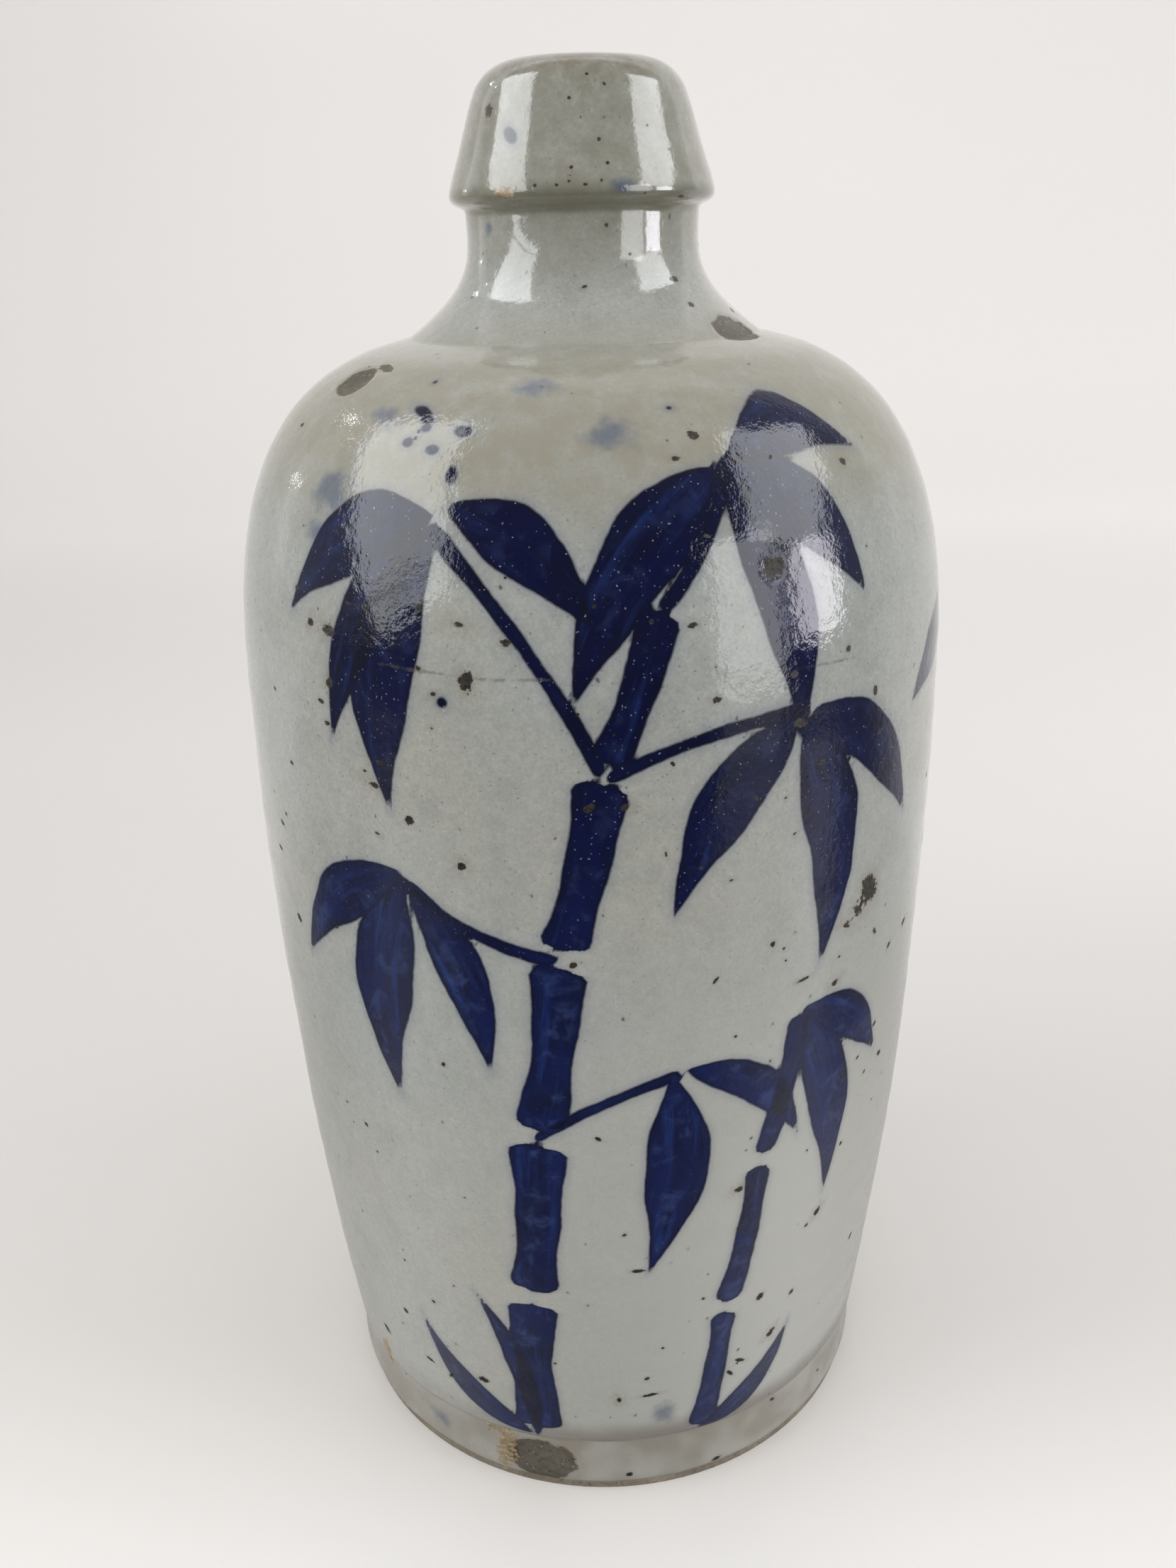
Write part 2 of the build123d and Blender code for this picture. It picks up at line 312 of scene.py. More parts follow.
CULM, LEAF = 0.0, 1.0
STROKES = (
    ((-15.5, 17), (-14.6, 52), 10.6, 0.5, CULM),
    ((-14.2, 55), (-11.6, 90), 10.0, -0.6, CULM),
    ((-11.0, 93), (-6.6, 126), 9.4, -0.8, CULM),
    ((-5.8, 129), (1.0, 158), 8.6, -0.8, CULM),
    ((2.0, 161), (10.4, 184), 7.2, -0.7, CULM),
    ((21.0, 15), (24.4, 46), 6.2, -0.6, CULM),
    ((24.8, 48.5), (29.6, 80), 5.8, -0.8, CULM),
    ((30.2, 82.5), (36.6, 110), 5.2, -0.8, CULM),
    ((-6.4, 127), (-34, 139), 2.6, 1.8, CULM),
    ((1.2, 159), (-27, 196), 2.8, -3.0, CULM),
    ((10.6, 184), (24, 203), 2.6, -1.2, CULM),
    ((1.6, 158.5), (36, 166), 2.6, 2.2, CULM),
    ((-12.0, 91), (14, 104), 2.4, 1.6, CULM),
    ((23.0, 204), (49, 182), 11.5, 4.0, LEAF),
    ((22.0, 204), (33.5, 160), 10.5, 4.2, LEAF),
    ((22.0, 203), (-3, 170), 12.5, -4.6, LEAF),
    ((24.0, 203), (56, 203), 8.6, 5.0, LEAF),
    ((-26.0, 197), (-56, 180), 11.0, -4.5, LEAF),
    ((-26.0, 196), (-34, 150), 12.6, -4.6, LEAF),
    ((-24.0, 198.5), (1, 181), 9.6, 3.6, LEAF),
    ((-27.0, 197), (-46, 160), 9.4, -2.8, LEAF),
    ((-33.0, 140), (-60, 116), 10.0, -3.6, LEAF),
    ((-33.0, 139), (-38, 94), 12.4, -3.8, LEAF),
    ((-32.0, 139), (-19, 104), 9.0, 3.0, LEAF),
    ((36.0, 166), (63, 140), 10.5, 4.0, LEAF),
    ((35.0, 165), (40, 119), 12.2, 4.2, LEAF),
    ((34.0, 166), (12, 134), 10.4, -3.4, LEAF),
    ((14.6, 104.6), (38, 84), 8.4, 4.4, LEAF),
    ((12.4, 103.6), (8, 60), 11.6, 3.0, LEAF),
    ((37.0, 111), (60, 92), 8.6, 3.2, LEAF),
    ((37.0, 110), (47, 66), 10.8, 3.8, LEAF),
    ((-17.0, 15), (-42, 40), 6.6, 4.2, LEAF),
    ((-16.0, 14), (-27, 52), 6.0, -3.0, LEAF),
    ((20.0, 14), (42, 36), 6.0, -4.0, LEAF),
    ((92.0, 173), (64, 160), 10.5, -2.0, LEAF),
    ((92.0, 174), (106, 148), 9.0, 3.0, LEAF),
)
# A culm's width by how far along it one is.
CULM_OUTLINE = (
    (0, 0), (0.012, 0.62), (0.035, 0.9), (0.07, 1), (0.16, 0.93), (0.4, 0.85),
    (0.7, 0.86), (0.88, 0.95), (0.95, 1), (0.985, 0.7), (1, 0),
)
LEAF_FULLNESS = 0.78  # Below 1 a leaf is widest before its middle.
HAIR_STEP = 7.3  # Sets the brush's hair marks of one stroke off from the next one's.
UNPAINTED, FAR_OFF = -30.0, 9.0
MARK_DEPTH = 5.0  # How far a mark reaches into the wall, in mm.


def brushwork(across, height):
    """How deep in the paint each point of the unrolled front lies in mm, how many strokes cover it, and its
    hairs: how far along and across the topmost stroke it lies, and which stroke that is."""
    depth = np.full(across.shape, UNPAINTED)
    layers = np.zeros(across.shape)
    hairs = np.zeros((*across.shape, 3))
    rng = random.Random(3)
    for number, (start, end, width, bow, leaf) in enumerate(STROKES):
        run = np.subtract(end, start)
        length = np.hypot(*run)
        run = run / length
        x, y = across - start[0], height - start[1]
        along, aside = x * run[0] + y * run[1], y * run[0] - x * run[1]
        share = along / length
        side = aside - bow * 4 * share * (1 - share)
        if leaf:
            wide = np.sin(math.pi * np.clip(share, 0, 1) ** LEAF_FULLNESS)
        else:
            wide = np.interp(share, *zip(*CULM_OUTLINE), left=0, right=0)
        wide = wide * width / 2
        swell = rng.uniform(0, math.tau)
        wide = wide * (1 + 0.07 * np.sin(along * 0.16 + swell) + 0.04 * np.sin(along * 0.43 + 2 * swell))
        to_end = np.minimum(along, length - along)
        inside = np.minimum(wide - np.abs(side), to_end * 1.2)
        gap = np.where(to_end < 0, -np.hypot(to_end, np.maximum(np.abs(side) - wide, 0)), inside)
        layers += np.clip(gap / 0.8 + 0.2, 0, 1)
        top = gap > depth
        depth = np.maximum(depth, gap)
        hairs[top] = np.stack((along, side, np.full(across.shape, number * HAIR_STEP)), -1)[top]
    return depth, layers, hairs


def on_mark(mark, places):
    """Places in the directions of a mark on the wall, in mm: across it, into the wall, and up it."""
    angle, height, _, _, tilt = mark
    about = Matrix.Rotation(math.radians(angle), 3, "Z") @ Matrix.Rotation(math.radians(tilt), 3, "Y")
    about = about @ Matrix.Rotation(-wall_slope(height), 3, "X")
    return np.moveaxis((places - np.array(on_wall(angle, height))) @ np.array(about), -1, 0)


def mark_field(marks, places):
    """For each place in mm, how near it lies to the nearest mark: 0 at its middle and 1 on its edge."""
    near = np.full(places.shape[:-1], FAR_OFF)
    for mark in marks.values():
        across, deep, up = on_mark(mark, places)
        _, _, wide, tall, _ = mark
        ratio = np.sqrt((across / (wide / 2)) ** 2 + (deep / MARK_DEPTH) ** 2 + (up / (tall / 2)) ** 2)
        near = np.minimum(near, ratio)
    return near


def mark_chart(marks, places):
    """For each place in mm: how far across and up the nearest mark it lies (1 on the edge) with the mark's
    narrow half, and the distance to that edge in mm."""
    gap = np.full(places.shape[:-1], 20.0)
    chart = np.full((*places.shape[:-1], 3), FAR_OFF)
    for mark in marks:
        across, deep, up = on_mark(mark, places)
        wide, tall = mark[2] / 2, mark[3] / 2
        across, up, narrow = across / wide, up / tall, min(wide, tall)
        off = np.maximum((np.hypot(across, up) - 1) * narrow, np.abs(deep) - MARK_DEPTH)
        near = off < gap
        gap[near] = off[near]
        chart[near] = np.stack((across, up, np.full_like(up, narrow)), -1)[near]
    return chart, gap


# ---------------------------------------------------------------------------------------------------------
# Node work


def node(tree, kind, values=(), **settings):
    """A new node with its settings made and its inputs linked or filled."""
    made = tree.nodes.new(kind)
    for key, value in settings.items():
        setattr(made, key, value)
    for key, value in dict(values).items():
        if isinstance(value, bpy.types.NodeSocket):
            tree.links.new(value, made.inputs[key])
        elif value is not None:
            made.inputs[key].default_value = value
    return made


def maths(tree, work, a, b=None, c=None):
    return node(tree, "ShaderNodeMath", {0: a, 1: b, 2: c}, operation=work).outputs[0]


def times(tree, first, *others):
    """The product of them all."""
    for other in others:
        first = maths(tree, "MULTIPLY", first, other)
    return first


def greatest(tree, first, *others):
    for other in others:
        first = maths(tree, "MAXIMUM", first, other)
    return first


def total(tree, first, *others):
    for other in others:
        first = maths(tree, "ADD", first, other)
    return first


def vectors(tree, work, a, b=None, scale=None):
    made = node(tree, "ShaderNodeVectorMath", {0: a, 1: b, "Scale": scale}, operation=work)
    return made.outputs["Value" if work in {"LENGTH", "DOT_PRODUCT"} else "Vector"]


def parted(tree, place):
    """The three parts of a vector."""
    return node(tree, "ShaderNodeSeparateXYZ", {0: place}).outputs


def joined(tree, x, y, z=0.0):
    return node(tree, "ShaderNodeCombineXYZ", {0: x, 1: y, 2: z}).outputs[0]


def ease(tree, value, start, end, low=0.0, high=1.0):
    """Low before start, high after end, and smooth between them."""
    limits = {"Value": value, "From Min": start, "From Max": end, "To Min": low, "To Max": high}
    return node(tree, "ShaderNodeMapRange", limits, interpolation_type="SMOOTHSTEP").outputs["Result"]


def between(tree, value, a, b, c, d):
    """1 from b to c, and easing down to 0 at a and at d."""
    return times(tree, ease(tree, value, a, b), ease(tree, value, d, c))


def mix(tree, share, a, b):
    """A number between a and b."""
    return node(tree, "ShaderNodeMix", {0: share, 2: a, 3: b}).outputs[0]


def blend(tree, share, a, b, how="MIX"):
    """A colour between a and b."""
    return node(tree, "ShaderNodeMix", {0: share, 6: a, 7: b}, data_type="RGBA", blend_type=how).outputs[2]


def tint(tree, tone, colour_over, *shares):
    """The tone with another colour over it, by the product of the shares."""
    return blend(tree, times(tree, *shares), tone, colour_over)


def grain(tree, place, per_mm, detail=2.0, rough=0.5, twist=0.0, out=0):
    """Fractal noise with this many features to the millimetre; with out 1 its colour."""
    values = {"Vector": place, "Scale": per_mm, "Detail": detail, "Roughness": rough, "Distortion": twist}
    return node(tree, "ShaderNodeTexNoise", values).outputs[out]


def cells(tree, place, per_mm):
    """Scattered cells: the distance to the middle of the nearest one, and the three numbers drawn for it."""
    web = node(tree, "ShaderNodeTexVoronoi", {"Vector": place, "Scale": per_mm})
    return web.outputs["Distance"], node(tree, "ShaderNodeSeparateColor", {0: web.outputs["Color"]}).outputs


def spots(tree, web, edge, core, rare):
    """Round spots in those cells whose first number is above rare."""
    away, lot = web
    return times(tree, ease(tree, away, edge, core), maths(tree, "GREATER_THAN", lot[0], rare))


def lean(tree, place, amount, per_mm, detail=1.0):
    """The place, pushed about by noise by up to half the amount each way."""
    push = vectors(tree, "SUBTRACT", grain(tree, place, per_mm, detail, out=1), (0.5, 0.5, 0.5))
    return vectors(tree, "ADD", place, vectors(tree, "SCALE", push, scale=amount))


def put(tree, sockets, **values):
    """Links each value to the socket of that name."""
    for key, value in values.items():
        tree.links.new(value, sockets[key.replace("_", " ")])


def new_group(name, given, out):
    """An empty shader node group: given has each input's default, or None for a place, out each output's kind."""
    tree = bpy.data.node_groups.new(name, "ShaderNodeTree")
    kinds = {tuple: "NodeSocketColor", float: "NodeSocketFloat"}
    for label, value in given.items():
        kind = kinds.get(type(value), "NodeSocketVector")
        socket = tree.interface.new_socket(label, in_out="INPUT", socket_type=kind)
        if value is not None:
            socket.default_value = value
    for label, kind in out.items():
        tree.interface.new_socket(label, in_out="OUTPUT", socket_type="NodeSocket" + kind)
    start, end = tree.nodes.new("NodeGroupInput"), tree.nodes.new("NodeGroupOutput")
    return tree, start.outputs, end.inputs


def place_group(tree, name, **values):
    """A group placed in a material with its own values."""
    made = tree.nodes.new("ShaderNodeGroup")
    made.node_tree = bpy.data.node_groups[name]
    for key, value in values.items():
        socket = made.inputs[key.replace("_", " ")]
        if isinstance(value, bpy.types.NodeSocket):
            tree.links.new(value, socket)
        else:
            socket.default_value = value
    return made.outputs


def painted_value(tree, name):
    """A value that the skin's mesh carries."""
    return node(tree, "ShaderNodeAttribute", attribute_name=name).outputs["Fac"]


def painted_vector(tree, name):
    return node(tree, "ShaderNodeAttribute", attribute_name=name).outputs["Vector"]


def mark_edge(tree, name, ragged):
    """The distance in mm to the edge of the nearest mark that the mesh carries by this name, below 0 inside."""
    chart = painted_vector(tree, name)
    ratio = vectors(tree, "LENGTH", vectors(tree, "MULTIPLY", chart, (1.0, 1.0, 0.0)))
    edge = maths(tree, "ADD", maths(tree, "SUBTRACT", ratio, 1.0), ragged)
    far = times(tree, maths(tree, "SUBTRACT", painted_value(tree, name + " gap"), 0.45), 3.0)
    return greatest(tree, times(tree, edge, parted(tree, chart)[2]), far)


# ---------------------------------------------------------------------------------------------------------
# Finishes

CRYSTAL = (0.7, 0.71, 0.67, 1)
GLAZE_GRIT = (0.12, 0.115, 0.09, 1)
PALE_SAND = (0.45, 0.4, 0.32, 1)
CLAY_UNDER_GLAZE = {
    "Clay": (0.125, 0.108, 0.082, 1),
    "Ash": (0.2, 0.175, 0.135, 1),
    "Iron": (0.035, 0.028, 0.02, 1),
}
FUSED_SAND = {"Clay": (0.34, 0.24, 0.12, 1), "Ash": (0.5, 0.42, 0.27, 1), "Iron": (0.1, 0.06, 0.03, 1)}
LINER_THICK, LINER_THIN = (0.115, 0.095, 0.06, 1), (0.05, 0.042, 0.03, 1)
LIP_RUST = (0.2, 0.16, 0.1, 1)
# Painted shade: the dark brown line in the crease of the foot's step.
STEP_PAINTED_SHADE = (0.13, 0.105, 0.07, 1)
IRON_STAIN, IRON_CORE = (0.17, 0.155, 0.11, 1), (0.055, 0.045, 0.03, 1)
BREATH_BLUE, BLOOM_BLUE = (0.065, 0.11, 0.21, 1), (0.05, 0.085, 0.24, 1)
# The pale star colour is a painted glint on the cobalt.
BLEED_BLUE, PALE_GLINT = (0.12, 0.16, 0.3, 1), (0.42, 0.46, 0.56, 1)
PIT_RUST, PIT_BLACK, PIT_BROWN = (0.25, 0.19, 0.11, 1), (0.008, 0.0065, 0.004, 1), (0.05, 0.037, 0.02, 1)
HAIRLINE_TONE = (0.13, 0.12, 0.1, 1)
CRUST_OCHRE, CRUST_RUST = (0.6, 0.49, 0.32, 1), (0.28, 0.19, 0.09, 1)
CLEAN_GLAZE_EDGE = (0.36, 0.31, 0.23, 1)
GLAZE_IOR = 1.52
PIT_BUMP, RIM_BUMP, GRIT_BUMP = 0.16, 0.07, 0.28  # Relief of pits, of patches' edges and of grit, in mm.


def make_surface_group():
    """Where a point lies on the bottle: its place in mm, and across and up on the unrolled front."""
    outputs = {"Place": "Vector", "Unrolled": "Vector"}
    tree, given, out = new_group("Place on the bottle", {"Object": None}, outputs)
    place = vectors(tree, "SCALE", given["Object"], scale=1 / MM)
    x, y, height = parted(tree, place)
    across = times(tree, maths(tree, "ARCTAN2", x, times(tree, y, -1.0)), BELLY_RADIUS)
    put(tree, out, Place=place, Unrolled=joined(tree, across, height))


def make_speck_group():
    """Scattered specks of iron: the dark cores, and the stain round each."""
    tree, given, out = new_group(
        "Iron specks",
        {"Ragged place": None, "Spacing": 5.0, "Radius": 0.4, "Share": 0.5, "Stain": 2.0},
        {"Core": "Float", "Stain": "Float"},
    )
    away, lot = cells(tree, given["Ragged place"], maths(tree, "DIVIDE", 1.0, given["Spacing"]))
    chosen = maths(tree, "LESS_THAN", lot[0], given["Share"])
    size = times(tree, given["Radius"], maths(tree, "MULTIPLY_ADD", lot[1], 1.1, 0.35))
    ratio = maths(tree, "DIVIDE", times(tree, away, given["Spacing"]), size)
    stain = ease(tree, ratio, given["Stain"], 0.4)
    put(tree, out, Core=times(tree, ease(tree, ratio, 1.15, 0.6), chosen), Stain=times(tree, stain, chosen))


def make_clay_group():
    """Fired stoneware without glaze: its colour, and the height of its grain in mm."""
    tree, given, out = new_group(
        "Bare stoneware",
        {
            "Place": None,
            "Ragged place": None,
            "Clay": (0.2, 0.15, 0.11, 1.0),
            "Ash": (0.34, 0.29, 0.22, 1.0),
            "Iron": (0.07, 0.05, 0.04, 1.0),
        },
        {"Color": "Color", "Height": "Float", "Roughness": "Float"},
    )
    broad = grain(tree, given["Place"], 0.08, 2.0, 0.55)
    fine = grain(tree, given["Place"], 0.9, 4.0, 0.65)
    body = blend(tree, ease(tree, broad, 0.3, 0.7), given["Clay"], given["Ash"])
    body = tint(tree, body, given["Iron"], ease(tree, fine, 0.35, 0.75, 0.0, 0.55))
    sand = cells(tree, given["Ragged place"], 1.5)
    spot, kind = spots(tree, sand, 0.42, 0.2, 0.72), sand[1][1]
    body = tint(tree, body, PALE_SAND, spot, maths(tree, "GREATER_THAN", kind, 0.4), 0.55)
    body = tint(tree, body, given["Iron"], spot, maths(tree, "LESS_THAN", kind, 0.4), 0.8)
    height = maths(tree, "MULTIPLY_ADD", fine, 0.22, times(tree, spot, 0.12))
    put(tree, out, Color=body, Height=height, Roughness=ease(tree, fine, 0.3, 0.8, 0.92, 0.7))


def make_glaze_group():
    """The grey-green glaze by itself: its colour with crystals and drift, and the height of its peel in mm."""
    tree, given, out = new_group(
        "Grey-green glaze",
        {
            "Place": None,
            "Ragged place": None,
            "Thin": (0.3, 0.28, 0.22, 1.0),
            "Thick": (0.3, 0.31, 0.27, 1.0),
            "Pool": (0.2, 0.21, 0.17, 1.0),
        },
        {"Color": "Color", "Height": "Float", "Roughness": "Float"},
    )
    place, ragged = given["Place"], given["Ragged place"]
    drift = grain(tree, place, 0.018, 1.0, 0.5)
    cloud = grain(tree, place, 0.11, 3.0, 0.6)
    peel = grain(tree, place, 0.62, 2.0, 0.6)
    fine = grain(tree, place, 1.7, 2.0, 0.75)
    tone = blend(tree, ease(tree, drift, 0.32, 0.68), given["Thin"], given["Thick"])
    tone = tint(tree, tone, given["Pool"], ease(tree, cloud, 0.56, 0.3, 0.0, 0.45))
    mottle = maths(tree, "MULTIPLY_ADD", peel, 0.3, 0.85)
    mottle = times(tree, mottle, maths(tree, "MULTIPLY_ADD", fine, 0.5, 0.75))
    grey = node(tree, "ShaderNodeCombineColor", {0: mottle, 1: mottle, 2: mottle}).outputs[0]
    tone = blend(tree, 1.0, tone, grey, "MULTIPLY")
    frost = cells(tree, ragged, 0.8)
    reach = maths(tree, "MULTIPLY_ADD", frost[1][1], 0.3, 0.08)
    tone = tint(tree, tone, CRYSTAL, spots(tree, frost, reach, 0.04, 0.64), frost[1][2], 0.5)
    tone = tint(tree, tone, GLAZE_GRIT, spots(tree, cells(tree, ragged, 1.25), 0.3, 0.1, 0.86), 0.5)
    height = times(tree, peel, 0.062)
    height = maths(tree, "MULTIPLY_ADD", fine, 0.022, height)
    height = maths(tree, "MULTIPLY_ADD", cloud, 0.11, height)
    put(tree, out, Color=tone, Height=height, Roughness=ease(tree, cloud, 0.3, 0.7, 0.05, 0.1))


def make_groups():
    for name in ("Place on the bottle", "Iron specks", "Bare stoneware", "Grey-green glaze"):
        if name in bpy.data.node_groups:
            bpy.data.node_groups.remove(bpy.data.node_groups[name])
    make_surface_group()
    make_speck_group()
    make_clay_group()
    make_glaze_group()


def empty_material(name):
    made = bpy.data.materials.get(name) or bpy.data.materials.new(name)
    made.use_nodes = True
    tree = made.node_tree
    tree.nodes.clear()
    shader = tree.nodes.new("ShaderNodeBsdfPrincipled")
    tree.links.new(shader.outputs[0], tree.nodes.new("ShaderNodeOutputMaterial").inputs[0])
    return made, tree, shader


def on_the_bottle(tree):
    """Where the shaded point lies on the bottle."""
    where = node(tree, "ShaderNodeTexCoord").outputs["Object"]
    return place_group(tree, "Place on the bottle", Object=where)


def finish_surface(tree, shader, tone, rough, height):
    """Feeds a material's shader; the height is in mm."""
    bump = node(tree, "ShaderNodeBump", {"Strength": 1.0, "Distance": MM, "Height": height}).outputs[0]
    put(tree, shader.inputs, Base_Color=tone, Roughness=rough, Normal=bump)


def cobalt_colour(tree, look, place, ragged, depth, high_up):
    """The cobalt's colour, and its pale stars, which are painted glints of tiny bubbles on it.

    depth is in mm from the paint's edge; high_up is 0 low on the body and 1 on the shoulder.
    """
    layers = painted_value(tree, "layers")
    hairs = painted_vector(tree, "hairs")
    streak = grain(tree, vectors(tree, "MULTIPLY", hairs, (0.035, 0.42, 1.0)), 1.0, 3.0, 0.6, 0.2)
    wash = grain(tree, vectors(tree, "MULTIPLY", hairs, (0.07, 0.15, 1.7)), 1.0, 4.0, 0.6, 0.7)
    rim = ease(tree, depth, 0.1, 2.0)
    bright = times(
        tree,
        ease(tree, streak, 0.47, 0.7),
        rim,
        ease(tree, wash, 0.38, 0.66),
        ease(tree, layers, 1.9, 1.1, 0.3, 1.0),
        ease(tree, high_up, 0.0, 1.0, 0.85, 0.5),
    )
    bloom = times(
        tree,
        ease(tree, grain(tree, place, 0.22, 3.0, 0.6, 0.4), 0.5, 0.72),
        ease(tree, layers, 1.8, 1.1),
        ease(tree, high_up, 0.0, 1.0, 0.55, 0.18),
        rim,
    )
    blue = blend(tree, high_up, look.low_cobalt, look.high_cobalt)
    for value, start, end, most in ((wash, 0.3, 0.7, 0.65), (layers, 1.2, 2.0, 0.8), (depth, 1.1, 0.15, 0.5)):
        blue = blend(tree, ease(tree, value, start, end, 0.0, most), blue, look.dark_cobalt)
    blue = blend(tree, bright, blue, look.bright_cobalt)
    blue = blend(tree, bloom, blue, BLOOM_BLUE)
    # Painted glints: pale stars where tiny bubbles on the cobalt would catch the light, most on the shoulder.
    web = cells(tree, ragged, 1.6)
    painted_glint = times(tree, spots(tree, web, 0.26, 0.12, 0.7), ease(tree, high_up, 0.2, 1.0, 0.08, 0.8))
    return tint(tree, blue, PALE_GLINT, painted_glint, web[1][1]), painted_glint


def glaze_by_height(tree, look, tone, height, wavy_height, across, level, patchy):
    """The glaze's tone with its zones: pale low on the right, warm on the shoulder, brown on the collar, painted
    shade of olive in the groove, rust on the lip, painted shade over thinner glaze above the foot's step, and
    dull at the foot with a dark line of painted shade on the step."""
    pale = times(tree, ease(tree, wavy_height, 175, 60), ease(tree, across, -45, 45, 0.25, 1.0))
    tone = tint(tree, tone, look.pale_glaze, pale, ease(tree, across, 150, 90))
    shoulder = between(tree, wavy_height, BODY_TOP - 24, BODY_TOP - 6, BODY_TOP + 2, BODY_TOP + 14)
    tone = tint(tree, tone, look.warm_glaze, shoulder, ease(tree, patchy, 0.25, 0.65, 0.4, 0.9))
    collar = ease(tree, wavy_height, COLLAR_FOOT - 16, COLLAR_FOOT + 4)
    tone = tint(tree, tone, look.collar_glaze, collar, ease(tree, patchy, 0.3, 0.7, 0.35, 0.75))
    # Painted shade: a dark olive line in the groove under the collar's overhang.
    groove = ease(tree, height, COLLAR_FOOT - 1.8, COLLAR_FOOT - 0.4)
    below_collar = ease(tree, wavy_height, COLLAR_FOOT + 4, COLLAR_FOOT + 1)
    tone = tint(tree, tone, look.groove_painted_shade, groove, below_collar, 0.7)
    lip = ease(tree, wavy_height, LIP_TOP - 6, LIP_TOP - 0.5)
    tone = tint(tree, tone, LIP_RUST, lip, ease(tree, patchy, 0.3, 0.7, 0.2, 0.8))
    # Painted shade over thinner glaze: a darker band above the foot's step, stronger from the middle of the front
    # to the right.
    skirt_shade = ease(tree, wavy_height, FOOT_BAND + 7, FOOT_BAND + 1)
    above_step = ease(tree, height, FOOT_BAND - 0.4, FOOT_BAND + 0.4)
    tone = tint(tree, tone, look.skirt_painted_shade, skirt_shade, ease(tree, across, -60, 10, 0.2, 0.75), above_step)
    band = ease(tree, height, FOOT_BAND + 0.3, FOOT_BAND - 0.8)
    tone = tint(tree, tone, look.foot_glaze, band, ease(tree, level, 0.3, 0.7, 0.85, 0.35))
    # Painted shade along the crease of the foot's step.
    step = between(tree, height, FOOT_BAND - 0.9, FOOT_BAND - 0.1, FOOT_BAND + 0.1, FOOT_BAND + 1.1)
    return tint(tree, tone, STEP_PAINTED_SHADE, step, ease(tree, patchy, 0.3, 0.65, 0.1, 0.5))


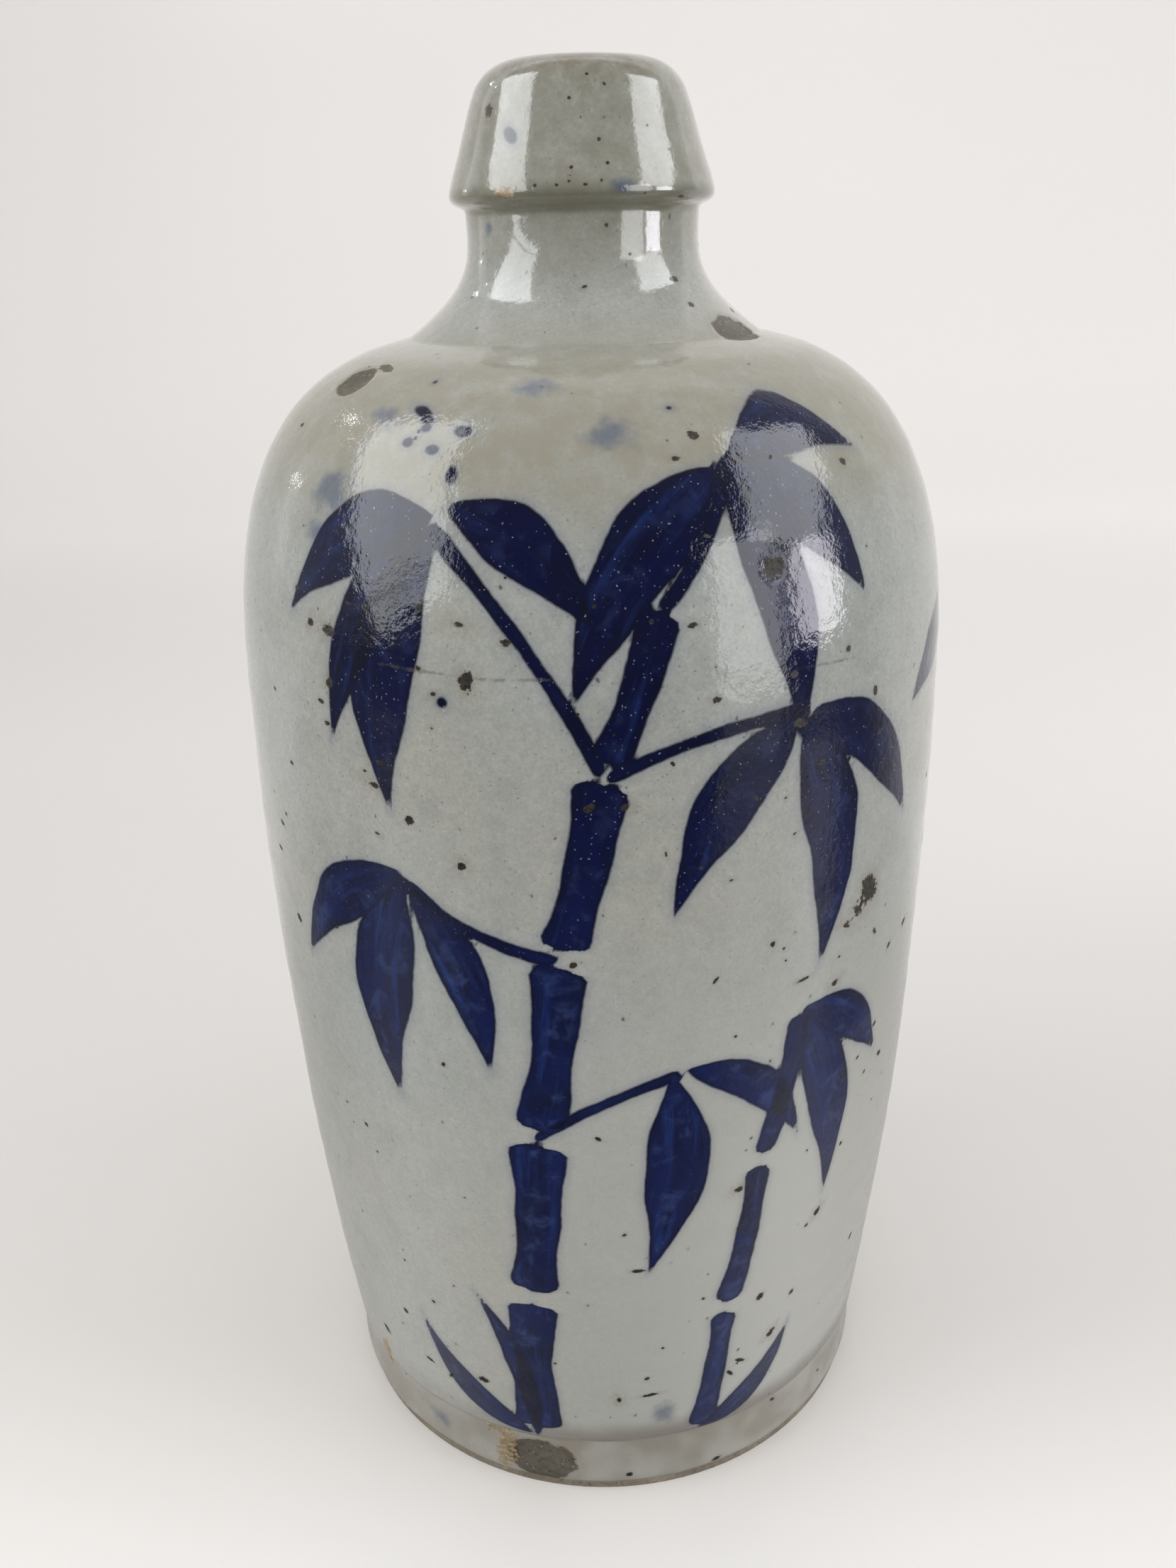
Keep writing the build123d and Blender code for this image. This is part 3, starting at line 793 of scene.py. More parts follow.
def glazed_material(look):
    """Glaze, brushwork, pits and bare patches of the skin."""
    made, tree, shader = empty_material("glazed stoneware")
    spot = on_the_bottle(tree)
    place = spot["Place"]
    height, across = parted(tree, place)[2], parted(tree, spot["Unrolled"])[0]
    level = grain(tree, place, 0.12, 1.0)
    wavy_height = maths(tree, "SUBTRACT", maths(tree, "MULTIPLY_ADD", level, 3.0, height), 1.5)
    patchy = grain(tree, place, 0.24, 3.0, 0.65)
    ragged = lean(tree, place, 1.2, 0.7, 2.0)
    glazes = {"Thin": look.thin_glaze, "Thick": look.thick_glaze, "Pool": look.pooled_glaze}
    glaze = place_group(tree, "Grey-green glaze", Place=place, Ragged_place=ragged, **glazes)
    clay = place_group(tree, "Bare stoneware", Place=place, Ragged_place=ragged, **CLAY_UNDER_GLAZE)
    tone = glaze_by_height(tree, look, glaze["Color"], height, wavy_height, across, level, patchy)

    # Fine iron out of the clay.
    speck_sizes = {"Spacing": 3.6, "Radius": 0.24, "Share": 0.45, "Stain": 2.6}
    specks = place_group(tree, "Iron specks", Ragged_place=ragged, **speck_sizes)
    tone = tint(tree, tone, IRON_STAIN, specks["Stain"], 0.2)
    tone = tint(tree, tone, IRON_CORE, specks["Core"], 0.7)

    # Cobalt: a breath of colour, then the drops and the spray with their bleeding edge.
    soft = maths(tree, "SUBTRACT", grain(tree, place, 0.3, 2.0, 0.6), 0.5)
    breath = maths(tree, "MULTIPLY_ADD", soft, 1.6, painted_value(tree, "breath"))
    tone = blend(tree, ease(tree, breath, 1.25, 0.1, 0.0, 0.62), tone, BREATH_BLUE)
    paint = maths(tree, "MULTIPLY_ADD", soft, 0.55, painted_value(tree, "paint"))
    depth = greatest(tree, paint, times(tree, mark_edge(tree, "drop", times(tree, soft, 0.8)), -1.0))
    blue, painted_glint = cobalt_colour(tree, look, place, ragged, depth, ease(tree, wavy_height, 90, 175))
    tone = tint(tree, tone, BLEED_BLUE, maths(tree, "POWER", ease(tree, depth, -2.6, 0.2), 2.2), 0.26)
    covered = ease(tree, depth, -0.26, 0.3)
    tone = blend(tree, covered, tone, blue)

    # Pits show through everything, then rust, then clay where the glaze has crawled away.
    nibble = maths(tree, "SUBTRACT", grain(tree, place, 0.95, 4.0, 0.75), 0.5)
    flecks = mark_edge(tree, "fleck", times(tree, nibble, 2.2))
    halo = greatest(
        tree, ease(tree, painted_value(tree, "pit gap"), 2.2, 0.0), ease(tree, flecks, 0.8, 0.0, 0.0, 0.7)
    )
    halo = times(tree, halo, maths(tree, "SUBTRACT", 1.0, covered))
    tone = tint(tree, tone, PIT_RUST, halo, ease(tree, nibble, -0.1, 0.15, 0.1, 0.4))
    hairline = ease(tree, mark_edge(tree, "hairline", times(tree, nibble, 5.0)), 0.2, -0.1)
    tone = tint(tree, tone, HAIRLINE_TONE, hairline, ease(tree, patchy, 0.4, 0.6, 0.1, 0.5))
    pit = ease(tree, mark_edge(tree, "pit", times(tree, nibble, 2.6)), 0.07, -0.14)
    fleck = greatest(tree, pit, ease(tree, flecks, 0.06, -0.1))
    iron = blend(tree, ease(tree, grain(tree, place, 1.7), 0.35, 0.7), PIT_BLACK, PIT_BROWN)
    tone = blend(tree, fleck, tone, iron)
    crust = ease(tree, maths(tree, "MULTIPLY_ADD", soft, 2.4, painted_value(tree, "crust")), 1.2, 0.6)
    ochre = blend(tree, ease(tree, grain(tree, place, 0.7, 4.0, 0.7), 0.35, 0.65), CRUST_OCHRE, CRUST_RUST)
    tone = tint(tree, tone, ochre, crust, 0.92)
    patch = maths(tree, "MULTIPLY_ADD", soft, 0.55, painted_value(tree, "bare"))
    bare = ease(tree, patch, 1.03, 0.93)
    patch_rim = times(tree, ease(tree, patch, 1.45, 1.05), maths(tree, "SUBTRACT", 1.0, bare))
    tone = tint(tree, tone, CLEAN_GLAZE_EDGE, patch_rim, 0.3)
    tone = blend(tree, bare, tone, clay["Color"])

    rough = glaze["Roughness"]
    for share, value in ((painted_glint, 0.2), (fleck, 0.6), (times(tree, crust, 0.85), 0.6), (bare, clay["Roughness"])):
        rough = mix(tree, share, rough, value)
    up = glaze["Height"]
    for share, by in ((pit, -PIT_BUMP), (patch_rim, RIM_BUMP), (bare, -PIT_BUMP)):
        up = maths(tree, "MULTIPLY_ADD", share, by, up)
    gritty = times(tree, grain(tree, place, 1.0, 3.0, 0.7), greatest(tree, bare, crust, pit))
    finish_surface(tree, shader, tone, rough, maths(tree, "MULTIPLY_ADD", gritty, GRIT_BUMP, up))
    shader.inputs["IOR"].default_value = GLAZE_IOR
    # The neck and the collar shine most.
    shader.inputs["Coat Roughness"].default_value = 0.06
    put(tree, shader.inputs, Coat_Weight=ease(tree, height, BODY_TOP + 2, BODY_TOP + 12, 0.0, 0.85))
    return made


def clay_material(name, clay, ash, iron):
    """Bare stoneware outside; on the hollow's side a thin brown liner that the potter swilled round."""
    made, tree, shader = empty_material(name)
    place = on_the_bottle(tree)["Place"]
    ragged = lean(tree, place, 0.6, 1.2)
    body = place_group(tree, "Bare stoneware", Place=place, Ragged_place=ragged, Clay=clay, Ash=ash, Iron=iron)
    x, y, height = parted(tree, place)
    facing = node(tree, "ShaderNodeNewGeometry").outputs["True Normal"]
    outward = vectors(tree, "DOT_PRODUCT", vectors(tree, "NORMALIZE", joined(tree, x, y)), facing)
    hollow = greatest(tree, ease(tree, outward, -0.05, -0.25), ease(tree, parted(tree, facing)[2], 0.75, 0.9))
    hollow = times(tree, hollow, ease(tree, height, 6.0, 8.0))
    pool = grain(tree, place, 0.09, 4.0, 0.6, 0.8)
    liner = blend(tree, ease(tree, pool, 0.35, 0.65), LINER_THICK, LINER_THIN)
    tone = blend(tree, hollow, body["Color"], liner)
    rough = mix(tree, hollow, body["Roughness"], ease(tree, pool, 0.3, 0.7, 0.22, 0.4))
    finish_surface(tree, shader, tone, rough, mix(tree, hollow, body["Height"], times(tree, pool, 0.25)))
    return made


def grit_material():
    """Fused kiln sand: ochre grains, a little glossier than bare clay."""
    made, tree, shader = empty_material("fused kiln sand")
    place = on_the_bottle(tree)["Place"]
    ragged = lean(tree, place, 0.6, 1.2)
    body = place_group(tree, "Bare stoneware", Place=place, Ragged_place=ragged, **FUSED_SAND)
    finish_surface(tree, shader, body["Color"], times(tree, body["Roughness"], 0.75), body["Height"])
    return made


# ---------------------------------------------------------------------------------------------------------
# Settings


def colour(name, text, default):
    return bpy.props.FloatVectorProperty(
        name=name, description=text, default=default, subtype="COLOR", size=4, min=0, max=1
    )


def metres(name, text, default):
    return bpy.props.FloatProperty(name=name, description=text, default=default, unit="LENGTH", precision=5)


def degrees(name, text, default):
    return bpy.props.FloatProperty(name=name, description=text, default=math.radians(default), unit="ROTATION")


class BottleSkin(bpy.types.PropertyGroup):
    """Sizes of the glazed skin."""

    columns: bpy.props.IntProperty(
        name="Columns", description="Faces round the bottle", default=300, min=48, max=720
    )
    crowding: bpy.props.FloatProperty(
        name="Crowding",
        description="How much closer the columns stand at the painted front",
        default=0.45,
        min=0,
        max=0.8,
    )
    more_flecks: bpy.props.IntProperty(
        name="More flecks", description="Flecks of iron scattered all over", default=150, min=0, max=600
    )
    ring_gap: metres("Ring gap", "Distance between rings on the plain wall", 1.05 * MM)
    fine_gap: metres("Fine gap", "Distance between rings at the foot, neck and lip", 0.7 * MM)
    wobble: metres("Wobble", "How far the thrown wall wanders", 0.28 * MM)
    throwing: metres("Throwing rings", "Depth of the rings the fingers left", 0.04 * MM)
    glaze_line: metres("Glaze line", "How far the glaze's lower edge wanders", 0.9 * MM)
    roll: metres("Glaze roll", "Height of the thick roll at the glaze's lower edge", 0.3 * MM)


class BottleLook(bpy.types.PropertyGroup):
    """Colours of glaze and cobalt, and of the painted shade in the groove and above the foot's step."""

    thick_glaze: colour("Thick glaze", "Where the glaze lies thick", (0.472, 0.494, 0.47, 1))
    pale_glaze: colour("Pale glaze", "Low on the right of the front", (0.61, 0.615, 0.575, 1))
    thin_glaze: colour("Thin glaze", "Where the clay warms it", (0.485, 0.488, 0.445, 1))
    pooled_glaze: colour("Pooled glaze", "Where it has pooled", (0.372, 0.392, 0.362, 1))
    warm_glaze: colour("Warm glaze", "On top of the shoulder", (0.385, 0.36, 0.285, 1))
    collar_glaze: colour("Collar glaze", "On the mouth's collar", (0.29, 0.275, 0.205, 1))
    # A painted shade: the dark olive line in the groove under the collar.
    groove_painted_shade: colour("Groove painted shade", "In the groove under the collar", (0.14, 0.135, 0.085, 1))
    foot_glaze: colour("Foot glaze", "On the band at the foot", (0.35, 0.315, 0.265, 1))
    # Painted shade above the foot's step, over glaze that thins there.
    skirt_painted_shade: colour("Skirt painted shade", "Where it thins above the foot's step", (0.25, 0.21, 0.18, 1))
    high_cobalt: colour("Upper cobalt", "Cobalt on the shoulder", (0.0045, 0.007, 0.05, 1))
    low_cobalt: colour("Lower cobalt", "Cobalt low on the body", (0.011, 0.02, 0.11, 1))
    dark_cobalt: colour("Dark cobalt", "Where strokes cross and pool", (0.0065, 0.0075, 0.018, 1))
    bright_cobalt: colour("Bright cobalt", "Streaks along a stroke", (0.022, 0.055, 0.24, 1))


class BottleStudio(bpy.types.PropertyGroup):
    """Floor, its glow and the camera."""

    floor_colour: colour("Floor", "Colour of the floor and backdrop", (0.79, 0.765, 0.745, 1))
    paper_glow: bpy.props.FloatProperty(
        name="Paper glow",
        description="How much the paper is lifted where the eye or a shine sees it",
        default=0.16,
        min=0,
        max=1,
    )
    lens: bpy.props.FloatProperty(name="Lens", description="Focal length", default=31.12, unit="CAMERA")
    stand_off: metres("Camera distance", "From the bottle's axis", 0.25612)
    eye: metres("Camera height", "Above the floor", 0.23598)
    dip: degrees("Dip", "How far the camera looks down", 22.27)
    cant: degrees("Cant", "How far the camera leans", -1.38)
    swing: degrees("Swing", "How far it looks aside", -0.31)


# ---------------------------------------------------------------------------------------------------------
# The pieces

FINE_FOOT = 18.0  # Rings stand closer below this height and above the shoulder, in mm.
PLAIN_MOUTH = 12.0  # The skin's last stretch inside the mouth carries no marks.
MOUTH_FADE = 10.0  # Over this last stretch its relief dies away.
ROLL_FROM_EDGE, ROLL_REACH = 1.3, 1.1
EDGE_FADE = 9.0  # Over this first stretch the lower edge's wander dies away.
PATCH_DEEP, GREAT_PIT_DEEP, DEEPEST = 0.26, 0.22, 0.32
FLECK_SEED, GRIT_SEED = 8, 5
GRIT_GRAINS, GRIT_FLATTENING = 90, 0.55
CLAYS = {
    "lower_body": ((0.3, 0.255, 0.19, 1), (0.42, 0.37, 0.29, 1), (0.14, 0.11, 0.08, 1)),
    "upper_body": ((0.2, 0.15, 0.105, 1), (0.3, 0.24, 0.17, 1), (0.08, 0.055, 0.04, 1)),
    "neck": ((0.2, 0.15, 0.105, 1), (0.3, 0.24, 0.17, 1), (0.08, 0.055, 0.04, 1)),
    "mouth_collar": ((0.22, 0.15, 0.09, 1), (0.3, 0.23, 0.15, 1), (0.08, 0.05, 0.03, 1)),
}


def show(name, mesh, material, body="root"):
    """A piece of the bottle in the scene, on its body and in its slot."""
    old = bpy.data.objects.get(name)
    if old:
        bpy.data.objects.remove(old)
    made = bpy.data.objects.new(name, mesh)
    bpy.context.scene.collection.objects.link(made)
    mesh.materials.clear()
    mesh.materials.append(material)
    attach(made, body)
    return made


def skin_relief(skin, far, side, places, bare):
    """How far each point of the skin stands out of the outline, and how far it is lifted, in metres."""
    from_end = far[-1] - far
    wander = [noise.fractal(Vector(p) * 19.0, 0.6, 2.0, 3) for p in places.reshape(-1, 3)]
    wander = np.array(wander).reshape(places.shape[:2])
    ripple = np.sin(far * 760)[:, None] * (0.6 + 0.4 * np.sin(far * 190 + 2.0))[:, None]
    out = skin.wobble * 0.8 * wander + skin.throwing * ripple
    out += skin.roll * np.exp(-(((far - ROLL_FROM_EDGE * MM) / (ROLL_REACH * MM)) ** 2))[:, None]
    great = mark_field({"pit": PITS["great pit"]}, places / MM)
    for near, deep in ((bare, PATCH_DEEP * MM), (great, GREAT_PIT_DEEP * MM)):
        dent = np.clip((1.15 - near) / 0.3, 0, 1)
        out -= deep * dent * dent * (3 - 2 * dent)
    out *= np.clip(from_end / (MOUTH_FADE * MM), 0, 1)[:, None]
    broad = np.array([noise.noise(Vector((x * 2.1, y * 2.1, 4))) for x, y in side])
    fine = np.array([noise.noise(Vector((x * 9, y * 9, 9))) for x, y in side])
    lift = np.clip(1 - far / (EDGE_FADE * MM), 0, None)[:, None] ** 2
    lift = lift * np.clip(skin.glaze_line * (0.5 + 0.5 * (broad + 0.35 * fine)), 0, None)
    return np.maximum(out, -DEEPEST * MM), lift


def tucked(ring, deep, up):
    """A ring moved into the wall, so that the skin's edge ends in the clay."""
    held = ring.copy()
    size = np.hypot(held[:, 0], held[:, 1])[:, None]
    held[:, :2] *= (size + deep * MM) / size
    held[:, 2] += up * MM
    return held[None]


def skin_mesh(rings, columns):
    """A closed wall of quads through the rings, with its chart."""
    rows = len(rings)
    index = np.arange(rows * columns).reshape(rows, -1)
    after = np.roll(index, -1, axis=1)
    faces = np.stack((index[:-1], after[:-1], after[1:], index[1:]), -1).reshape(-1, 4)
    mesh = bpy.data.meshes.new("glaze_skin")
    mesh.from_pydata(rings.reshape(-1, 3).tolist(), [], faces.tolist())
    mesh.polygons.foreach_set("use_smooth", np.ones(len(faces), bool))
    chart = mesh.uv_layers.new(name="OFBake")
    column, row = np.meshgrid(np.arange(columns), np.arange(rows - 1))
    u = np.stack((column, column + 1, column + 1, column), -1) / columns
    v = np.stack((row, row, row + 1, row + 1), -1) / (rows - 1)
    chart.data.foreach_set("uv", np.stack((u, v), -1).astype(np.float32).ravel())
    return mesh


def carry(mesh, name, values):
    """Stores a value for each point of the skin; its tucked rings have those of their neighbours."""
    vector = values.ndim == 3
    values = np.concatenate((values[:1], values[:1], values, values[-1:]))
    held = mesh.attributes.new(name, "FLOAT_VECTOR" if vector else "FLOAT", "POINT")
    held.data.foreach_set("vector" if vector else "value", values.astype(np.float32).ravel())


class BOTTLE_OT_glaze_skin(bpy.types.Operator):
    """The glazed surface from the foot's bare edge over the collar into the mouth"""

    bl_idname = "bottle.glaze_skin"
    bl_label = "Glaze skin"

    def execute(self, context):
        skin, look = context.scene.bottle_skin, context.scene.bottle_look

        def gap(height):
            return skin.fine_gap if height < FINE_FOOT * MM or height > (BODY_TOP - 2) * MM else skin.ring_gap

        far, path, normals = smooth_path(OUTLINE, gap)
        turns = np.arange(skin.columns) * math.tau / skin.columns - math.pi
        turns -= skin.crowding * np.sin(turns)
        side = np.stack((np.sin(turns), -np.cos(turns)), 1)
        places = np.empty((len(far), skin.columns, 3))
        places[..., :2] = side[None] * path[:, None, :1]
        places[..., 2] = path[:, None, 1]
        across = turns * BELLY_RADIUS
        paint, layers, hairs = brushwork(*np.broadcast_arrays(across[None], places[..., 2] / MM))
        outside = (far < far[-1] - PLAIN_MOUTH * MM)[:, None]
        values = {"paint": np.where(outside, paint, UNPAINTED), "layers": layers, "hairs": hairs}
        for name, marks in (("bare", BARE_PATCHES), ("crust", OCHRE_CRUSTS), ("breath", COBALT_BREATH)):
            values[name] = np.where(outside, mark_field(marks, places / MM), FAR_OFF)
        flecks = (*FLECKS, *scattered_flecks(skin.more_flecks, FLECK_SEED))
        charts = {"pit": PITS.values(), "fleck": flecks, "hairline": HAIRLINES, "drop": DROPS}
        for name, marks in charts.items():
            values[name], values[name + " gap"] = mark_chart(marks, places / MM)

        out, lift = skin_relief(skin, far, side, places, values["bare"])
        rings = np.empty_like(places)
        rings[..., :2] = side[None] * (path[:, :1] + normals[:, :1] * out)[..., None]
        rings[..., 2] = path[:, 1:] + normals[:, 1:] * out + lift
        foot = tucked(rings[0], -0.7, 0.4), tucked(rings[0], -0.3, -0.05)
        mesh = skin_mesh(np.concatenate((*foot, rings, tucked(rings[-1], 0.7, 0.3))), skin.columns)
        for name, held in values.items():
            carry(mesh, name, held)
        mesh.update()
        made = show("glaze_skin", mesh, glazed_material(look))
        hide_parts("glaze_coat")
        return {"FINISHED"}


class BOTTLE_OT_clay_body(bpy.types.Operator):
    """Gives the thrown sections their stoneware and the liner inside"""

    bl_idname = "bottle.clay_body"
    bl_label = "Clay body"

    def execute(self, context):
        for name, shades in CLAYS.items():
            material = clay_material("stoneware of the " + name.replace("_", " "), *shades)
            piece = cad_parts[name]
            if not piece.material_slots:
                raise RuntimeError(f"{name} has no slot for its clay")
            for held in piece.material_slots:
                held.material = material
        return {"FINISHED"}


class BOTTLE_OT_kiln_grit(bpy.types.Operator):
    """Grains of kiln sand fused to the foot beside the finger mark"""

    bl_idname = "bottle.kiln_grit"
    bl_label = "Kiln grit"

    def execute(self, context):
        rng = random.Random(GRIT_SEED)
        bm = bmesh.new()
        for k in range(GRIT_GRAINS):
            angle = rng.gauss(-21.6, 1.0)
            height = min(FOOT_BAND, max(2.0, rng.gauss(8.4, 3.2)))
            size = rng.uniform(0.2, 0.6)
            ball = bmesh.ops.create_icosphere(bm, subdivisions=2, radius=size * MM)
            centre = on_wall(angle, height, -0.12 * size) * MM
            stretch = Vector((rng.uniform(0.8, 1.5), rng.uniform(0.8, 1.3), rng.uniform(0.8, 1.4)))
            seed = Vector((k * 3.1, k * 1.7, 0))
            outward = Vector((math.sin(math.radians(angle)), -math.cos(math.radians(angle)), 0))
            for v in ball["verts"]:
                lump = 1 + 0.32 * noise.noise(v.co / (size * MM) * 1.3 + seed)
                grown = v.co * stretch * lump
                v.co = centre + grown - outward * grown.dot(outward) * GRIT_FLATTENING
        for face in bm.faces:
            face.smooth = True
        mesh = bpy.data.meshes.new("kiln_grit")
        bm.to_mesh(mesh)
        bm.free()
        show("kiln_grit", mesh, grit_material())
        return {"FINISHED"}


# ---------------------------------------------------------------------------------------------------------
# The studio

WHITE = (1, 1, 1)
UPRIGHT = Vector((0, 0, 1))
MIDDLE, UPPER_MIDDLE = Vector((0, 0, 0.15)), Vector((0, 0, 0.19))
PAPER_FRONT, PAPER_BACK, PAPER_BEND, PAPER_TOP, PAPER_HALF_WIDTH = -1.6, 0.9, 0.55, 2.4, 2.2
BEND_STEPS = 24
CLOUDY_PAPER, DIM_PAPER, DARK_PAPER = (0.76, 0.75, 0.735, 1), (0.08, 0.08, 0.08, 1), (0.02, 0.02, 0.02, 1)
# Each lamp: where it stands from the bottle (angle from the front towards the right, rise, distance), its width
# and height in metres, its radiance and its hue. A shine has the height it faces before its width.
SOFT_BOXES = {
    "left soft box": (-72, 22, 0.95, 0.6, 0.9, 1.46, (1, 0.99, 0.97)),
    "right soft box": (75, 22, 0.95, 0.6, 0.9, 1.25, (0.99, 0.99, 1)),
    "front fill": (0, 30, 1.2, 1.0, 0.8, 0.35, WHITE),
}
SHINES = {
    "right lamp": (72, 4, 0.8, 0.19, 0.22, 0.25, 8.0, (0.95, 0.92, 1)),
    "right curtain": (49, 7, 0.9, 0.19, 0.36, 0.58, 3.3, WHITE),
    "far lamp": (-126, 34, 0.9, 0.2, 0.016, 0.03, 36.0, WHITE),
    "far lamp, second": (-112, 34, 0.9, 0.2, 0.012, 0.016, 30.0, WHITE),
    "far lamp, low": (-118, 14, 0.9, 0.2, 0.012, 0.03, 30.0, WHITE),
}
# Window panes: the way from the bottle, the pane's long way, how far along that the pane sits, and its size.
PANES = {
    "left window": ((-0.818, -0.269, 0.508), (0.228, 0.66, 0.715), 0.1, 0.46, 0.9, (0.96, 0.99, 1)),
    "left window, low pane": ((-0.818, -0.269, 0.508), (0.228, 0.66, 0.715), -0.43, 0.46, 0.1, (0.96, 0.99, 1)),
    "right window": ((0.80, -0.20, 0.56), (-0.228, 0.66, 0.715), 0.0, 0.40, 0.62, (0.97, 0.99, 1)),
}
PANE_AWAY, PANE_RADIANCE = 0.8, 3.9
SKY, SKY_STRENGTH, ROOM_STRENGTH = (0.99, 0.985, 0.98, 1), 0.88, 0.42


def lamp(name, centre, facing, long_way, width, height, radiance, hue, seen):
    """A rectangular lamp that only diffuse or only glossy rays meet."""
    data = bpy.data.lights.new(name, "AREA")
    data.shape, data.size, data.size_y = "RECTANGLE", width, height
    data.energy = radiance * math.pi * width * height
    data.color = hue
    made = bpy.data.objects.new(name, data)
    bpy.context.scene.collection.objects.link(made)
    back = (centre - facing).normalized()
    up = (long_way - back * long_way.dot(back)).normalized()
    made.matrix_world = Matrix.Translation(centre) @ Matrix((up.cross(back), up, back)).transposed().to_4x4()
    made.visible_camera = made.visible_transmission = False
    made.visible_diffuse, made.visible_glossy = seen == "diffuse", seen == "glossy"


def toward(azimuth, rise, distance):
    """A place seen from the bottle at an angle from the front towards the right, and above the level."""
    turn, lift = math.radians(azimuth), math.radians(rise)
    level = math.cos(lift)
    return UPPER_MIDDLE + distance * Vector((math.sin(turn) * level, -math.cos(turn) * level, math.sin(lift)))


def make_lamps():
    """Soft boxes light the clay; panes and small lamps are what the glaze's shine shows."""
    above, back = Vector((0, 0.1, 1.5)), Vector((0, 1, 0))
    lamp("overhead soft box", above, Vector(), back, 1.5, 1.5, 0.85, WHITE, "diffuse")
    for name, (azimuth, rise, distance, *rest) in SOFT_BOXES.items():
        lamp(name, toward(azimuth, rise, distance), MIDDLE, UPRIGHT, *rest, "diffuse")
    for name, (way, long_way, along, width, height, hue) in PANES.items():
        facing = UPPER_MIDDLE + Vector(long_way) * along
        centre = facing + Vector(way).normalized() * PANE_AWAY
        lamp(name, centre, facing, Vector(long_way), width, height, PANE_RADIANCE, hue, "glossy")
    for name, (azimuth, rise, distance, faced, *rest) in SHINES.items():
        lamp(name, toward(azimuth, rise, distance), UPRIGHT * faced, UPRIGHT, *rest, "glossy")


def paper_material(studio):
    """Smooth paper, lifted where the eye or a shine sees it."""
    made, tree, shader = empty_material("studio paper")
    where = node(tree, "ShaderNodeTexCoord").outputs["Object"]
    x, y, _ = parted(tree, where)
    rays = node(tree, "ShaderNodeLightPath").outputs
    glossy = rays["Is Glossy Ray"]
    cloud = ease(tree, grain(tree, where, 3.0), 0.3, 0.7, 0.0, 0.35)
    tone = blend(tree, cloud, studio.floor_colour, CLOUDY_PAPER)
    # The room before the bottle is dim, and so is what the glaze shows of it.
    away = ease(tree, vectors(tree, "LENGTH", joined(tree, x, y)), 0.05, 0.25, 0.35, 1.0)
    tone = tint(tree, tone, DIM_PAPER, glossy, ease(tree, y, 0.22, -0.02), away)
    ahead = maths(tree, "MULTIPLY_ADD", maths(tree, "ABSOLUTE", x), 0.7, y)
    tone = tint(tree, tone, DARK_PAPER, glossy, ease(tree, ahead, 0.02, -0.1, 0.0, 0.85))
    # It glows in front and far behind, and a little towards the right.
    aside = maths(tree, "DIVIDE", x, greatest(tree, total(tree, y, 0.5), 0.3))
    glow = total(
        tree,
        ease(tree, y, -0.11, 0.0, 0.23, 0.0),
        ease(tree, y, 0.1, 0.4, 0.0, 0.06),
        ease(tree, y, 0.5, 1.4, 0.0, 0.22),
        times(tree, aside, ease(tree, y, 0.05, 0.3, 0.0, 0.17)),
        studio.paper_glow,
    )
    seen = greatest(tree, rays["Is Camera Ray"], glossy, rays["Is Transmission Ray"])
    put(tree, shader.inputs, Base_Color=tone, Emission_Color=tone, Emission_Strength=times(tree, seen, glow))
    fibre = grain(tree, where, 900.0, 3.0, 0.6)
    bump = node(tree, "ShaderNodeBump", {"Strength": 0.15, "Distance": 0.2 * MM, "Height": fibre}).outputs[0]
    put(tree, shader.inputs, Normal=bump)
    shader.inputs["Roughness"].default_value = 0.32
    return made


def lay_paper(studio):
    """A paper sweep: flat, then up behind the bottle."""
    bend = [math.pi / 2 * k / BEND_STEPS for k in range(1, BEND_STEPS + 1)]
    line = [(PAPER_FRONT, 0.0), (PAPER_BACK, 0.0)]
    line += [(PAPER_BACK + PAPER_BEND * math.sin(t), PAPER_BEND - PAPER_BEND * math.cos(t)) for t in bend]
    line += [(PAPER_BACK + PAPER_BEND, PAPER_TOP)]
    bm = bmesh.new()
    rows = [[bm.verts.new((x, y, z)) for x in (-PAPER_HALF_WIDTH, PAPER_HALF_WIDTH)] for y, z in line]
    for a, b in zip(rows, rows[1:]):
        bm.faces.new((a[0], a[1], b[1], b[0])).smooth = True
    mesh = bpy.data.meshes.new("paper sweep")
    bm.to_mesh(mesh)
    bm.free()
    mesh.materials.append(paper_material(studio))
    paper = bpy.data.objects.new("paper_sweep", mesh)
    bpy.context.scene.collection.objects.link(paper)


def make_world():
    """A pale backdrop for the eye, and a room that is dim before the bottle for the glaze's shine."""
    world = bpy.data.worlds.get("Studio") or bpy.data.worlds.new("Studio")
    world.use_nodes = True
    tree = world.node_tree
    tree.nodes.clear()
    rays = node(tree, "ShaderNodeLightPath").outputs
    y = parted(tree, node(tree, "ShaderNodeTexCoord").outputs["Generated"])[1]
    room = total(tree, ease(tree, y, 0.3, 0.5, 0.0, 0.6), ease(tree, y, -0.9, 0.2, 0.07, 0.42))
    strength = mix(tree, rays["Is Glossy Ray"], ROOM_STRENGTH, room)
    seen = greatest(tree, rays["Is Camera Ray"], rays["Is Transmission Ray"])
    strength = mix(tree, seen, strength, SKY_STRENGTH)
    sky = node(tree, "ShaderNodeBackground", {"Color": SKY, "Strength": strength})
    tree.links.new(sky.outputs[0], node(tree, "ShaderNodeOutputWorld").inputs[0])
    return world


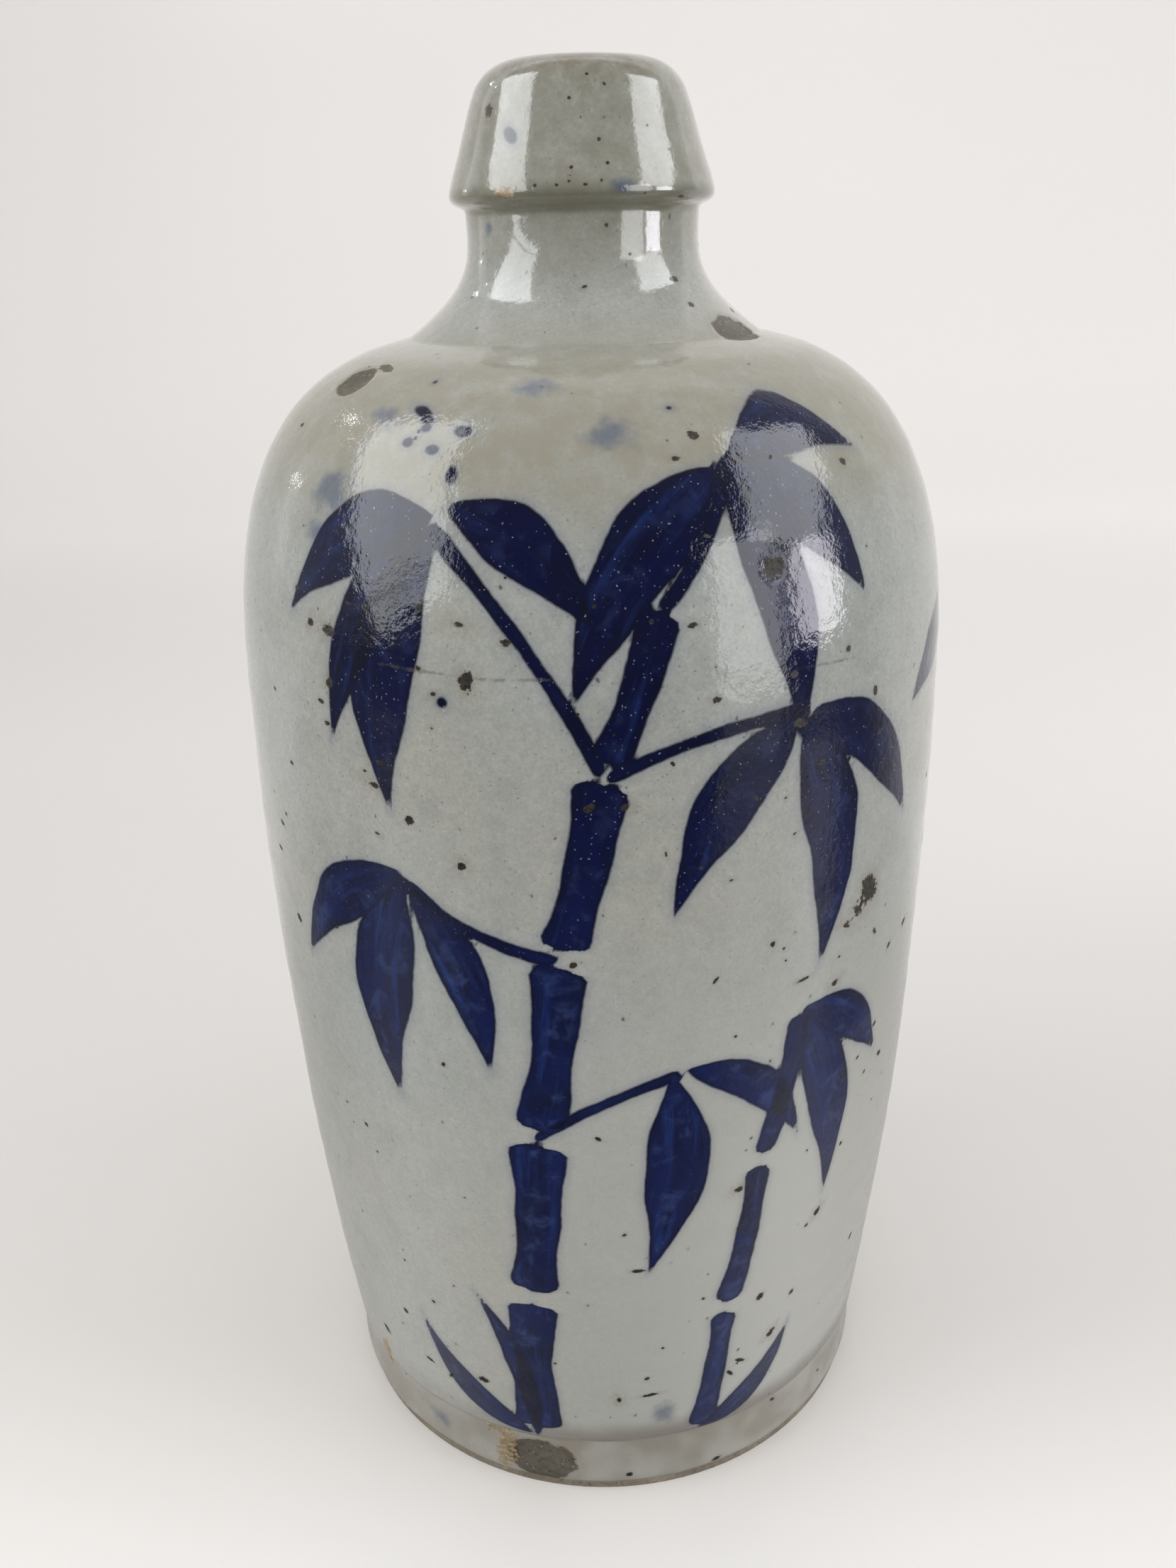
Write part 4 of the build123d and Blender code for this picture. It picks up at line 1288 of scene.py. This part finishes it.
def make_camera(studio):
    """The camera, by its distance, its height and how it is turned."""
    data = bpy.data.cameras.new("Camera")
    data.lens, data.sensor_width, data.sensor_fit = studio.lens, 36.0, "AUTO"
    data.clip_start = 0.01
    camera = bpy.data.objects.new("Camera", data)
    bpy.context.scene.collection.objects.link(camera)
    down, aside, tip = studio.dip, studio.swing, studio.cant
    ahead = Vector((math.sin(aside) * math.cos(down), math.cos(aside) * math.cos(down), -math.sin(down)))
    right = Vector((math.cos(aside), -math.sin(aside), 0))
    up = right.cross(ahead)
    across = math.cos(tip) * right + math.sin(tip) * up
    above = math.cos(tip) * up - math.sin(tip) * right
    place = Matrix.Translation((0, -studio.stand_off, studio.eye))
    camera.matrix_world = place @ Matrix((across, above, -ahead)).transposed().to_4x4()
    return camera


class BOTTLE_OT_studio(bpy.types.Operator):
    """Floor and backdrop, soft lamps, world and camera"""

    bl_idname = "bottle.studio"
    bl_label = "Studio"

    def execute(self, context):
        studio, scene = context.scene.bottle_studio, context.scene
        lay_paper(studio)
        make_lamps()
        scene.world = make_world()
        scene.camera = make_camera(studio)
        scene.view_settings.view_transform = "Standard"
        return {"FINISHED"}


class BOTTLE_PT_panel(bpy.types.Panel):
    """The bottle's pieces, in the order in which they are made"""

    bl_idname = "BOTTLE_PT_panel"
    bl_label = "Sake bottle"
    bl_space_type = "VIEW_3D"
    bl_region_type = "UI"
    bl_category = "Bottle"

    def draw(self, context):
        column = self.layout.column()
        for operator in OPERATORS:
            column.operator(operator.bl_idname)
        for group in (context.scene.bottle_skin, context.scene.bottle_look, context.scene.bottle_studio):
            box = self.layout.box()
            for key in group.__annotations__:
                box.prop(group, key)


OPERATORS = (BOTTLE_OT_glaze_skin, BOTTLE_OT_clay_body, BOTTLE_OT_kiln_grit, BOTTLE_OT_studio)
CLASSES = (BottleSkin, BottleLook, BottleStudio, *OPERATORS, BOTTLE_PT_panel)


def register():
    for cls in CLASSES:
        bpy.utils.register_class(cls)
    bpy.types.Scene.bottle_skin = bpy.props.PointerProperty(type=BottleSkin)
    bpy.types.Scene.bottle_look = bpy.props.PointerProperty(type=BottleLook)
    bpy.types.Scene.bottle_studio = bpy.props.PointerProperty(type=BottleStudio)


def unregister():
    del bpy.types.Scene.bottle_studio
    del bpy.types.Scene.bottle_look
    del bpy.types.Scene.bottle_skin
    for cls in reversed(CLASSES):
        bpy.utils.unregister_class(cls)


def main():
    register()
    make_groups()
    bpy.ops.bottle.glaze_skin()
    bpy.ops.bottle.clay_body()
    bpy.ops.bottle.kiln_grit()
    bpy.ops.bottle.studio()


if __name__ == "__main__":
    main()
